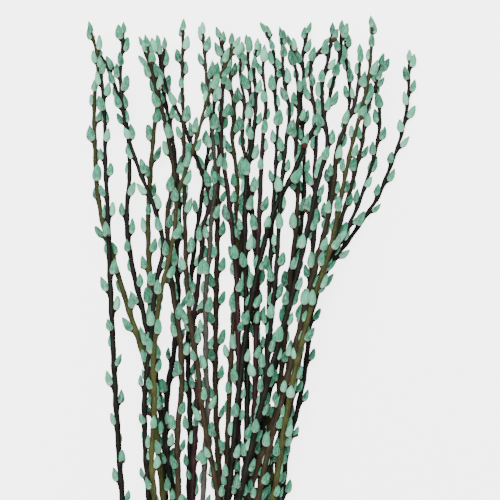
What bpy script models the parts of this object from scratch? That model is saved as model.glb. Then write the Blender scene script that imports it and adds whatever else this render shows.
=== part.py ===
"""Bunch of cut willow branches with coloured buds, bound with twine near the cut ends.

The bunch lies on its back on a flat surface. +Y runs along it towards the tips, +X is to the right
and +Z is up. Every branch is one grown body: its stem with its buds. Units are metres.
"""

import math
import random
from dataclasses import dataclass

import bmesh
import bpy
import numpy as np
from mathutils import Vector

# Scale and place
PIXEL = 0.001  # the buds, 14 mm long, give one millimetre for a pixel of the photograph
MIDDLE_X = 252.77  # pixel that lies over the middle of the whole bunch
MIDDLE_Y = 484.0

# Tie
TIE_X = 183.0
TIE_AT = 880.0
TIE_WIDTH = 0.0132  # six turns of twine side by side
TIE_WALL = 0.0022
TIE_CLEAR = 0.0003
CORNER_SIDES = 4
KNOT_SIZE = (0.0075, 0.0062, 0.0042)
KNOT_DETAIL = 2
TAIL_RADIUS = 0.0011
TAIL_LENGTH = 0.030
TAIL_SPREAD = 0.0075
TAIL_DROP = 0.0010
TAIL_SIDES = 6
TAIL_RINGS = 5

# Stems
BUTT_RADIUS = 0.00265
TIP_RADIUS = 0.0010
TAPER = (2.6, 6.5)  # power of the taper, drawn for each stem
SLOT_WIDTH = 0.00564  # from one stem to the next across the tie
TIE_STEP = 0.00493  # from one layer of stems to the next at the tie
SPRING_STEP = 0.0009  # what a layer rises as soon as it leaves the tie
SPRING_LENGTH = 0.040
FAN_STEP = 0.0071  # what a layer rises along the fan
FAN_LENGTH = 0.560
WAVE = 0.0017  # how far a stem sways up and down in the fan
WAVE_LENGTH = (0.20, 0.34)
TIE_SLACK = 6.0  # pixels beyond either edge of the tie where a stem starts to bend sideways
TIE_MARGIN = 0.003  # how far beyond either edge it stays level
WAIST_AT = 690.0
WAIST_SHARE = 0.44  # part of the spread at the photograph's edge that is left at the waist
CUT_AT = 950.0
CUT_STAGGER = 16.0
CUT_SPREAD = 0.10
LINE_STEP = 0.003
STEM_SIDES = 5
STEM_BEND = 0.0009  # how far a straight stretch of stem may lie from its curve

# Buds
BUD_LENGTH = 0.0148
BUD_WIDTH = 0.0080
BUD_SPREAD = 0.16  # part by which the size is drawn larger or smaller
YOUNG_SHARE = 0.96  # size of the first buds below the tip
YOUNG_LENGTH = 0.120
OLD_SHARE = 0.88  # size of the last buds
OLD_LENGTHS = (0.25, 0.45)
TIP_BUD = (0.0125, 0.0062)
BUD_SPACING = 0.0186
YOUNG_SPACING = 0.0124
FIRST_SPACING = 0.0092
SPACING_SPREAD = 0.13
BUD_LEAN = math.radians(16.0)
BUD_STAND = 0.0013  # how far a bud's base stands off the bark, on its cushion
CUSHION = 0.0045  # how far below the bud its cushion starts
BUD_TURN = 144.0  # from one bud to the next round the stem, in degrees
TURN_SPREAD = 14.0
LAST_BUD = (612.0, 700.0)  # where the buds of a branch end
BUD_CLEAR = 0.0008
FLOOR_CLEAR = 0.0004
OTHER_TURNS = (0, 25, -25, 50, -50, 75, -75, 100, -100, 130, -130, 180)
BUD_FORM = ((0.14, 0.40), (0.34, 0.50), (0.58, 0.42), (0.84, 0.20))  # place, half width
WIDEST_AT = 0.36
CORNER_OUT = 0.53  # a four-sided bud's corners stand a little outside the round one
BELLY_OUT = 0.24  # its belly is flat towards the stem
YOUNG_BUDS = 6
KEPT_EVERY = 3  # below the young buds, one bud of this many is a solid

# Rows of branches at the tie, from the lowest up, each from left to right
ROWS = (
    ("branch_07", "branch_31", "branch_32", "branch_12", "branch_28"),
    ("branch_05", "branch_14", "branch_19", "branch_23"),
    ("branch_02", "branch_08", "branch_15", "branch_18", "branch_20"),
    ("branch_01", "branch_11", "branch_29", "branch_30", "branch_16", "branch_27"),
    ("branch_03", "branch_06", "branch_10", "branch_22", "branch_26"),
    ("branch_04", "branch_09", "branch_17", "branch_24"),
    ("branch_13", "branch_21", "branch_25"),
)

# Each stem's way from its tip down to the photograph's lower edge, in pixels
ROUTES = {
    "branch_01": (
        (91, 30), (98, 62), (95, 90), (95, 150), (98, 195), (105, 232), (115, 265), (130, 314),
        (145, 362), (152, 400), (158, 450), (163, 500),
    ),
    "branch_02": (
        (99, 52), (112, 79), (120, 103), (127, 132), (129, 170), (126, 220), (131, 263), (143, 315),
        (152, 360), (158, 400), (166, 450), (172, 500),
    ),
    "branch_03": (
        (101, 66), (105, 108), (106, 165), (109, 225), (110, 262), (113, 325), (117, 410), (123, 500),
    ),
    "branch_04": (
        (125, 33), (122, 90), (127, 128), (140, 170), (156, 210), (164, 245), (157, 285), (152, 340),
        (146, 390), (146, 440), (150, 500),
    ),
    "branch_05": (
        (141, 42), (147, 60), (157, 90), (154, 120), (150, 165), (147, 215), (148, 268), (150, 320),
        (152, 355), (158, 400), (166, 450), (174, 500),
    ),
    "branch_06": (
        (148, 45), (153, 76), (162, 108), (171, 152), (175, 182), (169, 205), (168, 240), (173, 290),
        (180, 335), (182, 385), (178, 430), (179, 500),
    ),
    "branch_07": (
        (157, 40), (162, 88), (170, 130), (174, 158), (178, 200), (177, 230), (175, 260), (177, 290),
        (173, 350), (166, 395), (164, 435), (164, 500),
    ),
    "branch_08": (
        (164, 45), (162, 60), (167, 90), (183, 122), (193, 150), (203, 176), (210, 202), (205, 220),
        (201, 255), (196, 300), (192, 335), (196, 365), (197, 400), (194, 450), (192, 500),
    ),
    "branch_09": (
        (184, 30), (183, 70), (184, 125), (185, 185), (186, 243), (188, 290), (193, 335), (198, 365),
        (203, 410), (211, 455), (219, 500),
    ),
    "branch_10": (
        (203, 32), (205, 58), (209, 105), (214, 150), (216, 180), (212, 215), (209, 260), (206, 290),
        (206, 335), (206, 365), (208, 400), (206, 440), (203, 500),
    ),
    "branch_11": (
        (219, 35), (224, 57), (222, 105), (222, 155), (227, 185), (232, 230), (236, 270), (238, 330),
        (239, 385), (238, 440), (236, 500),
    ),
    "branch_12": (
        (231, 38), (230, 78), (234, 115), (232, 130), (237, 175), (236, 240), (243, 280), (252, 315),
        (259, 350), (265, 390), (271, 455), (271, 500),
    ),
    "branch_13": (
        (236, 48), (226, 68), (209, 99), (202, 124), (191, 160), (178, 200), (176, 228), (168, 268),
        (161, 298), (158, 328), (155, 360), (156, 400), (153, 455), (156, 500),
    ),
    "branch_14": (
        (242, 48), (240, 72), (244, 98), (243, 145), (246, 160), (244, 220), (237, 280), (232, 340),
        (229, 400), (227, 450), (226, 500),
    ),
    "branch_15": (
        (247, 42), (250, 90), (250, 115), (249, 145), (247, 160), (252, 210), (256, 260), (258, 320),
        (256, 380), (252, 440), (249, 500),
    ),
    "branch_16": (
        (265, 30), (273, 50), (276, 75), (275, 100), (277, 115), (276, 160), (273, 210), (270, 270),
        (268, 330), (265, 390), (262, 450), (259, 500),
    ),
    "branch_17": (
        (281, 38), (284, 85), (289, 112), (286, 140), (283, 168), (279, 220), (276, 270), (270, 330),
        (262, 400), (250, 450), (243, 500),
    ),
    "branch_18": (
        (290, 42), (296, 68), (299, 105), (296, 150), (298, 180), (296, 230), (290, 280), (285, 340),
        (278, 400), (270, 450), (263, 500),
    ),
    "branch_19": (
        (309, 28), (303, 55), (304, 78), (302, 90), (303, 130), (305, 180), (301, 230), (294, 280),
        (282, 340), (268, 400), (255, 450), (245, 500),
    ),
    "branch_20": (
        (325, 43), (313, 60), (312, 90), (316, 115), (315, 180), (316, 215), (313, 250), (310, 290),
        (303, 340), (294, 390), (283, 440), (273, 500),
    ),
    "branch_21": (
        (331, 35), (327, 62), (321, 90), (323, 118), (326, 152), (319, 175), (311, 210), (302, 250),
        (290, 300), (276, 350), (262, 400), (250, 450), (238, 500),
    ),
    "branch_22": (
        (341, 30), (340, 52), (331, 90), (326, 110), (314, 128), (301, 156), (291, 178), (279, 200),
        (268, 230), (258, 270), (248, 320), (240, 380), (234, 440), (228, 500),
    ),
    "branch_23": (
        (346, 36), (348, 65), (351, 92), (346, 128), (339, 153), (332, 180), (328, 218), (322, 243),
        (313, 284), (303, 322), (297, 352), (290, 397), (280, 440), (268, 475), (264, 500),
    ),
    "branch_24": (
        (359, 55), (357, 88), (352, 110), (343, 130), (336, 150), (334, 175), (328, 215), (318, 255),
        (306, 300), (294, 350), (281, 400), (268, 450), (257, 500),
    ),
    "branch_25": (
        (370, 28), (369, 58), (366, 85), (360, 110), (350, 148), (344, 175), (337, 212), (328, 252),
        (312, 300), (300, 345), (290, 390), (283, 430), (278, 465), (272, 500),
    ),
    "branch_26": (
        (378, 78), (372, 95), (365, 117), (362, 143), (355, 170), (346, 203), (336, 233), (325, 262),
        (312, 295), (298, 335), (285, 380), (270, 430), (256, 470), (248, 500),
    ),
    "branch_27": (
        (381, 62), (376, 90), (380, 115), (377, 145), (369, 174), (356, 210), (340, 243), (328, 261),
        (316, 285), (304, 315), (294, 350), (288, 390), (283, 430), (280, 465), (277, 500),
    ),
    "branch_28": (
        (412, 55), (410, 103), (402, 140), (392, 167), (379, 198), (363, 222), (345, 247), (328, 271),
        (319, 293), (312, 318), (309, 348), (305, 378), (300, 405), (291, 438), (287, 458), (283, 500),
    ),
    "branch_29": (
        (257, 47), (254, 62), (256, 95), (254, 130), (247, 175), (245, 230), (246, 290), (247, 350),
        (247, 410), (246, 455), (244, 500),
    ),
    "branch_30": (
        (264, 53), (263, 70), (266, 100), (263, 135), (261, 175), (259, 225), (257, 280), (256, 340),
        (255, 400), (254, 450), (251, 500),
    ),
    "branch_31": (
        (212, 66), (213, 110), (206, 160), (199, 210), (192, 260), (188, 310), (187, 360), (189, 420),
        (188, 500),
    ),
    "branch_32": (
        (222, 60), (220, 110), (218, 160), (217, 220), (216, 280), (215, 340), (215, 400), (217, 450),
        (220, 500),
    ),
}

# Bark and bud colours, linear, and the branches whose bark isn't the usual dark brown
BARK = (0.042, 0.022, 0.016)
OLIVE_BARK = (0.155, 0.125, 0.045)
GREY_BARK = (0.13, 0.115, 0.095)
OLIVE_BRANCHES = ("branch_01", "branch_05", "branch_13", "branch_12", "branch_25")
GREY_BRANCHES = ("branch_10",)
BARK_ROUGHNESS = 0.6
TWINE = (0.36, 0.25, 0.13)
TWINE_ROUGHNESS = 0.9


@dataclass
class Stem:
    """One branch's centre line from its tip to its cut end, with what is needed to grow on it."""

    name: str
    number: int
    points: np.ndarray
    lengths: np.ndarray
    radii: np.ndarray

    def at(self, length):
        """Point, growth direction and radius at a length below the tip."""
        point = np.array([np.interp(length, self.lengths, self.points[:, i]) for i in range(3)])
        above = [np.interp(length - LINE_STEP, self.lengths, self.points[:, i]) for i in range(3)]
        below = [np.interp(length + LINE_STEP, self.lengths, self.points[:, i]) for i in range(3)]
        way = np.array(above) - np.array(below)
        return point, way / np.linalg.norm(way), float(np.interp(length, self.lengths, self.radii))


@dataclass
class Bud:
    """One bud: where it starts, where it points, where its cushion is rooted, and its size."""

    stem: Stem
    start: np.ndarray
    axis: np.ndarray
    out: np.ndarray
    root: np.ndarray
    length: float
    width: float
    order: int

    def balls(self):
        """Centres and radii of balls that fill the bud."""
        centres = [self.start + self.axis * self.length * place for place, _ in BUD_FORM]
        return np.array(centres), np.array([self.width * half for _, half in BUD_FORM])


def along(pixel_y):
    """Place along the bunch of a pixel row."""
    return (MIDDLE_Y - pixel_y) * PIXEL


def across(pixel_x):
    """Place across the bunch of a pixel column."""
    return (pixel_x - MIDDLE_X) * PIXEL


def smooth(share):
    """Soft step from 0 to 1."""
    share = np.clip(share, 0.0, 1.0)
    return share * share * (3.0 - 2.0 * share)


def beyond_tie(y):
    """Distance from the tie's upper edge towards the tips, or 0 below it."""
    return np.clip(y - along(TIE_AT) - 0.5 * TIE_WIDTH - TIE_MARGIN, 0.0, None)


def fan_share(y):
    """How far the fan has opened, from 0 at the tie to 1."""
    return 1.0 - (1.0 - np.clip(beyond_tie(y) / FAN_LENGTH, 0.0, 1.0)) ** 2


def layer_step(y):
    """Height from one layer of stems to the next, at places y along the bunch."""
    return TIE_STEP + SPRING_STEP * smooth(beyond_tie(y) / SPRING_LENGTH) + FAN_STEP * fan_share(y)


def curve_through(knots, values, places):
    """Smooth curve through values at rising knots, read at places."""
    knots = np.array(knots, float)
    values = np.array(values, float)
    spans = np.diff(knots)
    rises = np.diff(values) / spans
    inner = (spans[1:] * rises[:-1] + spans[:-1] * rises[1:]) / (spans[1:] + spans[:-1])
    slopes = np.concatenate([rises[:1], inner, rises[-1:]])
    piece = np.clip(np.searchsorted(knots, places) - 1, 0, len(spans) - 1)
    span = spans[piece]
    share = (places - knots[piece]) / span
    rest = 1.0 - share
    ends = values[piece] * (1 + 2 * share) * rest**2 + values[piece + 1] * (3 - 2 * share) * share**2
    return ends + span * share * rest * (slopes[piece] * rest - slopes[piece + 1] * share)


def grow_stem(name, layer, slot):
    """Centre line of one branch, from its traced route, its slot in the tie and its layer."""
    number = int(name[-2:])
    draw = random.Random(100 + number)
    straight = 0.5 * TIE_WIDTH / PIXEL + TIE_SLACK
    tie_x = TIE_X + slot * SLOT_WIDTH / PIXEL
    cut_at = CUT_AT - draw.uniform(0.0, CUT_STAGGER)
    edge_x = ROUTES[name][-1][0]
    knots = [y for _, y in ROUTES[name]] + [WAIST_AT, TIE_AT - straight, TIE_AT + straight, cut_at]
    values = [x for x, _ in ROUTES[name]]
    values += [tie_x + (edge_x - tie_x) * WAIST_SHARE, tie_x, tie_x, tie_x + (tie_x - TIE_X) * CUT_SPREAD]
    rows = np.linspace(knots[0], cut_at, int((cut_at - knots[0]) * PIXEL / LINE_STEP) + 1)
    y = along(rows)
    height = TIE_WALL + TIE_CLEAR + BUTT_RADIUS + layer * layer_step(y)
    sway = np.sin(2.0 * math.pi * (y / draw.uniform(*WAVE_LENGTH) + draw.random()))
    if layer > 0:
        height += WAVE * fan_share(y) * sway
    points = np.stack([across(curve_through(knots, values, rows)), y, height], axis=1)
    steps = np.linalg.norm(np.diff(points, axis=0), axis=1)
    lengths = np.concatenate([[0.0], np.cumsum(steps)])
    share = 1.0 - (1.0 - lengths / lengths[-1]) ** draw.uniform(*TAPER)
    return Stem(name, number, points, lengths, TIP_RADIUS + (BUTT_RADIUS - TIP_RADIUS) * share)


def grow_stems():
    """Every stem, in the order of the names."""
    stems = []
    for layer, row in enumerate(ROWS):
        for place, name in enumerate(row):
            stems.append(grow_stem(name, layer, place - 0.5 * (len(row) - 1)))
    return sorted(stems, key=lambda stem: stem.number)


def bud_at(stem, length, angle, size, order):
    """Bud at a length below the tip, turned by an angle in degrees round the stem from +X upwards."""
    point, way, radius = stem.at(length)
    side = np.cross(way, (0.0, 0.0, 1.0))
    side /= np.linalg.norm(side)
    up = np.cross(side, way)
    turn = math.radians(angle)
    out = math.cos(turn) * side + math.sin(turn) * up
    axis = math.cos(BUD_LEAN) * way + math.sin(BUD_LEAN) * out
    start = point + out * (radius + BUD_STAND)
    return Bud(stem, start, axis, out, point - way * CUSHION, size[0], size[1], order)


class Room:
    """What the stems and the buds so far take up, so that the next bud can be turned clear of it."""

    def __init__(self, stems):
        self.centres = np.concatenate([stem.points for stem in stems])
        self.radii = np.concatenate([stem.radii for stem in stems])
        self.owners = np.concatenate([np.full(len(stem.points), stem.number) for stem in stems])

    def is_clear(self, bud):
        """Whether a bud lies above the surface and clear of every other branch."""
        centres, radii = bud.balls()
        if (centres[:, 2] - radii).min() < FLOOR_CLEAR:
            return False
        near = abs(self.centres[:, 1] - bud.start[1]) < 2 * BUD_LENGTH
        near &= self.owners != bud.stem.number
        gaps = np.linalg.norm(centres[:, None] - self.centres[near][None], axis=2)
        gaps -= radii[:, None] + self.radii[near][None]
        return gaps.size == 0 or gaps.min() > BUD_CLEAR

    def fill(self, bud):
        """Adds a bud."""
        centres, radii = bud.balls()
        self.centres = np.concatenate([self.centres, centres])
        self.radii = np.concatenate([self.radii, radii])
        self.owners = np.concatenate([self.owners, np.full(len(radii), bud.stem.number)])


def grow_buds(stems):
    """Every bud of every stem, each turned to the first side that is clear."""
    room = Room(stems)
    buds = []
    for stem in stems:
        draw = random.Random(500 + stem.number)
        point, way, _ = stem.at(LINE_STEP)
        side = np.cross(way, (0.0, 0.0, 1.0))
        side /= np.linalg.norm(side)
        tip_bud = Bud(stem, point, way, side, point - way * CUSHION, TIP_BUD[0], TIP_BUD[1], 0)
        buds.append(tip_bud)
        room.fill(tip_bud)
        angle = draw.uniform(0.0, 360.0)
        length = FIRST_SPACING
        end = along(draw.uniform(*LAST_BUD))
        order = 0
        while stem.at(length)[0][1] > end:
            order += 1
            age = smooth(length / YOUNG_LENGTH)
            old = smooth((length - OLD_LENGTHS[0]) / (OLD_LENGTHS[1] - OLD_LENGTHS[0]))
            size = (YOUNG_SHARE + (1.0 - YOUNG_SHARE) * age) * (1.0 - (1.0 - OLD_SHARE) * old)
            size *= draw.uniform(1.0 - BUD_SPREAD, 1.0 + BUD_SPREAD)
            width = BUD_WIDTH * size * draw.uniform(1.0 - 0.5 * BUD_SPREAD, 1.0 + 0.5 * BUD_SPREAD)
            for other in OTHER_TURNS:
                bud = bud_at(stem, length, angle + other, (BUD_LENGTH * size, width), order)
                if room.is_clear(bud):
                    buds.append(bud)
                    room.fill(bud)
                    angle += other
                    break
            angle += BUD_TURN + draw.uniform(-TURN_SPREAD, TURN_SPREAD)
            spacing = YOUNG_SPACING + (BUD_SPACING - YOUNG_SPACING) * age
            length += spacing * draw.uniform(1.0 - SPACING_SPREAD, 1.0 + SPACING_SPREAD)
    return buds


def plain_material(name, colour, roughness):
    """Principled material of one colour."""
    material = bpy.data.materials.new(name)
    material.use_nodes = True
    shader = material.node_tree.nodes["Principled BSDF"]
    shader.inputs["Base Color"].default_value = (*colour, 1.0)
    shader.inputs["Roughness"].default_value = roughness
    shader.inputs["Metallic"].default_value = 0.0
    material.diffuse_color = (*colour, 1.0)
    return material


def add_object(name, mesh, collection=None):
    """Object of a mesh, linked to a collection."""
    thing = bpy.data.objects.new(name, mesh)
    (collection or bpy.context.scene.collection).objects.link(thing)
    return thing


def bend_stations(points):
    """Numbers of the few points, the tie's edges among them, between which a line is straight enough."""
    edges = [along(TIE_AT) + side * (0.5 * TIE_WIDTH + TIE_MARGIN) for side in (1.0, -1.0)]
    kept = [0] + [int(abs(points[:, 1] - edge).argmin()) for edge in edges] + [len(points) - 1]
    spans = list(zip(kept[:-1], kept[1:]))
    while spans:
        first, last = spans.pop()
        if last - first < 2:
            continue
        way = points[last] - points[first]
        way = way / np.linalg.norm(way)
        aside = points[first + 1 : last] - points[first]
        off = np.linalg.norm(aside - np.outer(aside @ way, way), axis=1)
        if off.max() > STEM_BEND:
            middle = first + 1 + int(off.argmax())
            kept.append(middle)
            spans += [(first, middle), (middle, last)]
    return sorted(kept)


def tube_mesh(name, points, radii, sides):
    """Closed tube with flat ends round a line of points."""
    mesh = bpy.data.meshes.new(name)
    form = bmesh.new()
    rings = []
    for index, (point, radius) in enumerate(zip(points, radii)):
        way = points[max(index - 1, 0)] - points[min(index + 1, len(points) - 1)]
        way = way / np.linalg.norm(way)
        side = np.cross(way, (0.0, 0.0, 1.0))
        side /= np.linalg.norm(side)
        up = np.cross(side, way)
        turns = [2.0 * math.pi * corner / sides for corner in range(sides)]
        ring = [point + radius * (math.cos(turn) * side + math.sin(turn) * up) for turn in turns]
        rings.append([form.verts.new(corner) for corner in ring])
    for upper, lower in zip(rings[:-1], rings[1:]):
        for corner in range(sides):
            following = (corner + 1) % sides
            form.faces.new((upper[corner], upper[following], lower[following], lower[corner]))
    form.faces.new(rings[0])
    form.faces.new(rings[-1])
    bmesh.ops.recalc_face_normals(form, faces=form.faces)
    form.to_mesh(mesh)
    form.free()
    return mesh


def bud_mesh(name, bud):
    """Four-sided drop: its root sunk in the stem, a widest ring and a tip."""
    mesh = bpy.data.meshes.new(name)
    form = bmesh.new()
    across_way = np.cross(bud.axis, bud.out)
    across_way /= np.linalg.norm(across_way)
    outward = np.cross(across_way, bud.axis)
    middle = bud.start + bud.axis * bud.length * WIDEST_AT
    root = form.verts.new(bud.root)
    tip = form.verts.new(bud.start + bud.axis * bud.length)
    corners = [outward * CORNER_OUT, across_way * CORNER_OUT]
    corners += [-outward * BELLY_OUT, -across_way * CORNER_OUT]
    ring = [form.verts.new(middle + bud.width * corner) for corner in corners]
    for corner, following in zip(ring, ring[1:] + ring[:1]):
        form.faces.new((root, corner, following))
        form.faces.new((tip, following, corner))
    bmesh.ops.recalc_face_normals(form, faces=form.faces)
    form.to_mesh(mesh)
    form.free()
    return mesh


def fuse(base, collection):
    """Joins every object of a collection to base, and removes them."""
    union = base.modifiers.new("fuse", "BOOLEAN")
    union.operation = "UNION"
    union.operand_type = "COLLECTION"
    union.solver = "MANIFOLD"
    union.collection = collection
    whole = bpy.data.meshes.new_from_object(base.evaluated_get(bpy.context.evaluated_depsgraph_get()))
    base.modifiers.clear()
    base.data = whole
    for thing in list(collection.objects):
        bpy.data.objects.remove(thing)
    bpy.data.collections.remove(collection)


def is_in_source(bud):
    """Young buds are all solids. Below them some buds are left to the finer model."""
    return bud.order < YOUNG_BUDS or bud.order % KEPT_EVERY == 1


def build_branch(stem, buds, material):
    """One grown branch: its stem, fused with its buds."""
    stations = bend_stations(stem.points)
    mesh = tube_mesh(stem.name, stem.points[stations], stem.radii[stations], STEM_SIDES)
    branch = add_object(stem.name, mesh)
    collection = bpy.data.collections.new(f"{stem.name}_buds")
    bpy.context.scene.collection.children.link(collection)
    for bud in buds:
        if bud.stem is stem and is_in_source(bud):
            name = f"{stem.name}_bud_{bud.order:02d}"
            add_object(name, bud_mesh(name, bud), collection)
    fuse(branch, collection)
    branch.data.materials.clear()
    branch.data.materials.append(material)


def tie_outline(clear):
    """Corners of a loop round the stems at the tie, this far outside their centres."""
    lowest = TIE_WALL + TIE_CLEAR + BUTT_RADIUS
    halves = [0.5 * (len(row) - 1) * SLOT_WIDTH for row in ROWS]
    widest = halves.index(max(halves))
    posts = [(halves[layer], lowest + TIE_STEP * layer) for layer in (0, widest, len(ROWS) - 1)]
    posts += [(-x, z) for x, z in reversed(posts)]
    corners = []
    for index, (x, z) in enumerate(posts):
        before = posts[index - 1]
        after = posts[(index + 1) % len(posts)]
        start = math.atan2(-(x - before[0]), z - before[1])
        end = math.atan2(-(after[0] - x), after[1] - z)
        sweep = (end - start) % (2.0 * math.pi)
        for step in range(CORNER_SIDES + 1):
            turn = start + sweep * step / CORNER_SIDES
            corners.append((x + clear * math.cos(turn), z + clear * math.sin(turn)))
    return corners


def band_mesh(name):
    """The wound twine as one closed band with an opening that the stems pass through."""
    mesh = bpy.data.meshes.new(name)
    form = bmesh.new()
    inner = tie_outline(BUTT_RADIUS + TIE_CLEAR)
    outer = tie_outline(BUTT_RADIUS + TIE_CLEAR + TIE_WALL)
    loops = []
    for outline, end in ((inner, -0.5), (outer, -0.5), (outer, 0.5), (inner, 0.5)):
        y = along(TIE_AT) + end * TIE_WIDTH
        loops.append([form.verts.new((across(TIE_X) + x, y, z)) for x, z in outline])
    for one, other in zip(loops, loops[1:] + loops[:1]):
        for index in range(len(one)):
            following = (index + 1) % len(one)
            form.faces.new((one[index], one[following], other[following], other[index]))
    bmesh.ops.recalc_face_normals(form, faces=form.faces)
    form.to_mesh(mesh)
    form.free()
    return mesh


def knot_place():
    """Middle of the knot, at the top of the band."""
    top = 2.0 * (TIE_WALL + TIE_CLEAR + BUTT_RADIUS) + TIE_STEP * (len(ROWS) - 1)
    return np.array((across(TIE_X), along(TIE_AT), top))


def tail_points(side):
    """Line of one loose end, from the knot towards the cut ends, above the topmost stems."""
    start = knot_place()
    shares = np.linspace(0.0, 1.0, TAIL_RINGS)
    height = start[2] - TAIL_DROP * smooth(shares)
    x = start[0] + side * TAIL_SPREAD * smooth(shares)
    return np.stack([x, start[1] - TAIL_LENGTH * shares, height], axis=1)


def build_tie(material):
    """The twine band with its knot and two loose ends, fused."""
    tie = add_object("tie", band_mesh("tie"))
    collection = bpy.data.collections.new("tie_knot")
    bpy.context.scene.collection.children.link(collection)
    form = bmesh.new()
    bmesh.ops.create_icosphere(form, subdivisions=KNOT_DETAIL, radius=0.5)
    bmesh.ops.scale(form, vec=Vector(KNOT_SIZE), verts=form.verts)
    bmesh.ops.translate(form, vec=Vector(knot_place()), verts=form.verts)
    knot = bpy.data.meshes.new("knot")
    form.to_mesh(knot)
    form.free()
    add_object("knot", knot, collection)
    for name, side in (("left_end", -1.0), ("right_end", 1.0)):
        radii = np.full(TAIL_RINGS, TAIL_RADIUS)
        add_object(name, tube_mesh(name, tail_points(side), radii, TAIL_SIDES), collection)
    fuse(tie, collection)
    tie.data.materials.clear()
    tie.data.materials.append(material)


def main():
    """Builds the bunch."""
    for thing in list(bpy.data.objects):
        bpy.data.objects.remove(thing)
    stems = grow_stems()
    buds = grow_buds(stems)
    for stem in stems:
        colour = BARK
        if stem.name in OLIVE_BRANCHES:
            colour = OLIVE_BARK
        if stem.name in GREY_BRANCHES:
            colour = GREY_BARK
        build_branch(stem, buds, plain_material(f"bark of {stem.name}", colour, BARK_ROUGHNESS))
    build_tie(plain_material("twine", TWINE, TWINE_ROUGHNESS))
    for thing in bpy.data.objects:
        thing.data.shade_smooth()
        thing.data.set_sharp_from_angle(angle=math.radians(40.0))


main()
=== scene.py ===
"""Looks of a tied bunch of cut willow branches with coloured catkins, lying on a light table.

+Y runs along the bunch towards the tips, +X is to the right and +Z is up. Lengths are in metres,
or in millimetres where a name ends in mm. Angles are in radians unless a comment says otherwise.
"""

import logging
import math
import random
from dataclasses import dataclass, field, replace
from enum import Enum
from typing import NamedTuple

import bpy
import numpy as np
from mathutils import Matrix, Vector

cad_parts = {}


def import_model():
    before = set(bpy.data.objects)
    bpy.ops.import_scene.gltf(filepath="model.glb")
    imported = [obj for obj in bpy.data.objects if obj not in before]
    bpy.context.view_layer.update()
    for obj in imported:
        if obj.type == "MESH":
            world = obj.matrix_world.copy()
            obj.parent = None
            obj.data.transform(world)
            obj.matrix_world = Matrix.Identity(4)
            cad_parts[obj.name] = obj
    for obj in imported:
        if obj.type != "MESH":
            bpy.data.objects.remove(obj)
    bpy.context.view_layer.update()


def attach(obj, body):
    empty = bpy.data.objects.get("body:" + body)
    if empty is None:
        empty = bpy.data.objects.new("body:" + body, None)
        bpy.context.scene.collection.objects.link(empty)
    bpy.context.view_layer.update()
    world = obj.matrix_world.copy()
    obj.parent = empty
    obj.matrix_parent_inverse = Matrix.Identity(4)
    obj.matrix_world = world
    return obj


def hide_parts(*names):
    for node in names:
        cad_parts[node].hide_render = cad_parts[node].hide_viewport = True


LOG = logging.getLogger("willow bunch")
Point = np.ndarray

MM = 0.001
UP = np.array((0.0, 0.0, 1.0))

# Size of a pixel of the photograph, and places of the bunch in its pixels, as the solids have them
PIXEL = 0.001
MIDDLE_X = 252.77
MIDDLE_Y = 484.0
PHOTO_MIDDLE = 250.0
TIE_X = 183.0
TIE_AT = 880.0
TIE_SLACK = 6.0
WAIST_AT = 690.0
CUT_AT = 950.0
CUT_STAGGER = 16.0
LAST_BUD = (612.0, 700.0)

# Lowest that a point of the bunch may lie above the surface
LOWEST = 0.05 * MM

# Seeds of what is left to chance, and the range of a phase
STEM_SEED = 100
BUD_SEED = 500
WOOD_SEED = 1000
CATKIN_SEED = 2000
TIE_SEED = 77
PHASE = 6.28

# Tie
TIE_WIDTH = 0.0132
TIE_WALL = 0.0022
TIE_CLEAR = 0.0003
TIE_MARGIN = 0.003

# Stems
BUTT_RADIUS = 0.00265
TIP_RADIUS = 0.0010
TAPER = (2.6, 6.5)
SLOT_WIDTH = 0.00564
TIE_STEP = 0.00493
SPRING_STEP = 0.0009
SPRING_LENGTH = 0.040
FAN_STEP = 0.0071
FAN_LENGTH = 0.560
WAVE = 0.0017
WAVE_LENGTH = (0.20, 0.34)
WAIST_SHARE = 0.44
CUT_SPREAD = 0.10
LINE_STEP = 0.003

# Buds
BUD_LENGTH = 0.0148
BUD_WIDTH = 0.0080
BUD_SPREAD = 0.16
YOUNG_SHARE = 0.96
YOUNG_LENGTH = 0.120
OLD_SHARE = 0.88
OLD_LENGTHS = (0.25, 0.45)
TIP_BUD = (0.0125, 0.0062)
BUD_SPACING = 0.0186
YOUNG_SPACING = 0.0124
FIRST_SPACING = 0.0092
SPACING_SPREAD = 0.13
BUD_LEAN = math.radians(16.0)
BUD_STAND = 0.0013
BUD_CLEAR = 0.0008
FLOOR_CLEAR = 0.0004

# Turns from one bud to the next, in degrees
BUD_TURN = 144.0
TURN_SPREAD = 14.0
OTHER_TURNS = (0, 25, -25, 50, -50, 75, -75, 100, -100, 130, -130, 180)

# Balls that fill a bud: place along it and half width, as shares of its length and width
BUD_FORM = ((0.14, 0.40), (0.34, 0.50), (0.58, 0.42), (0.84, 0.20))

# Rows of branches at the tie, from the lowest up, each from left to right
ROWS = (
    ("branch_07", "branch_31", "branch_32", "branch_12", "branch_28"),
    ("branch_05", "branch_14", "branch_19", "branch_23"),
    ("branch_02", "branch_08", "branch_15", "branch_18", "branch_20"),
    ("branch_01", "branch_11", "branch_29", "branch_30", "branch_16", "branch_27"),
    ("branch_03", "branch_06", "branch_10", "branch_22", "branch_26"),
    ("branch_04", "branch_09", "branch_17", "branch_24"),
    ("branch_13", "branch_21", "branch_25"),
)

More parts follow.
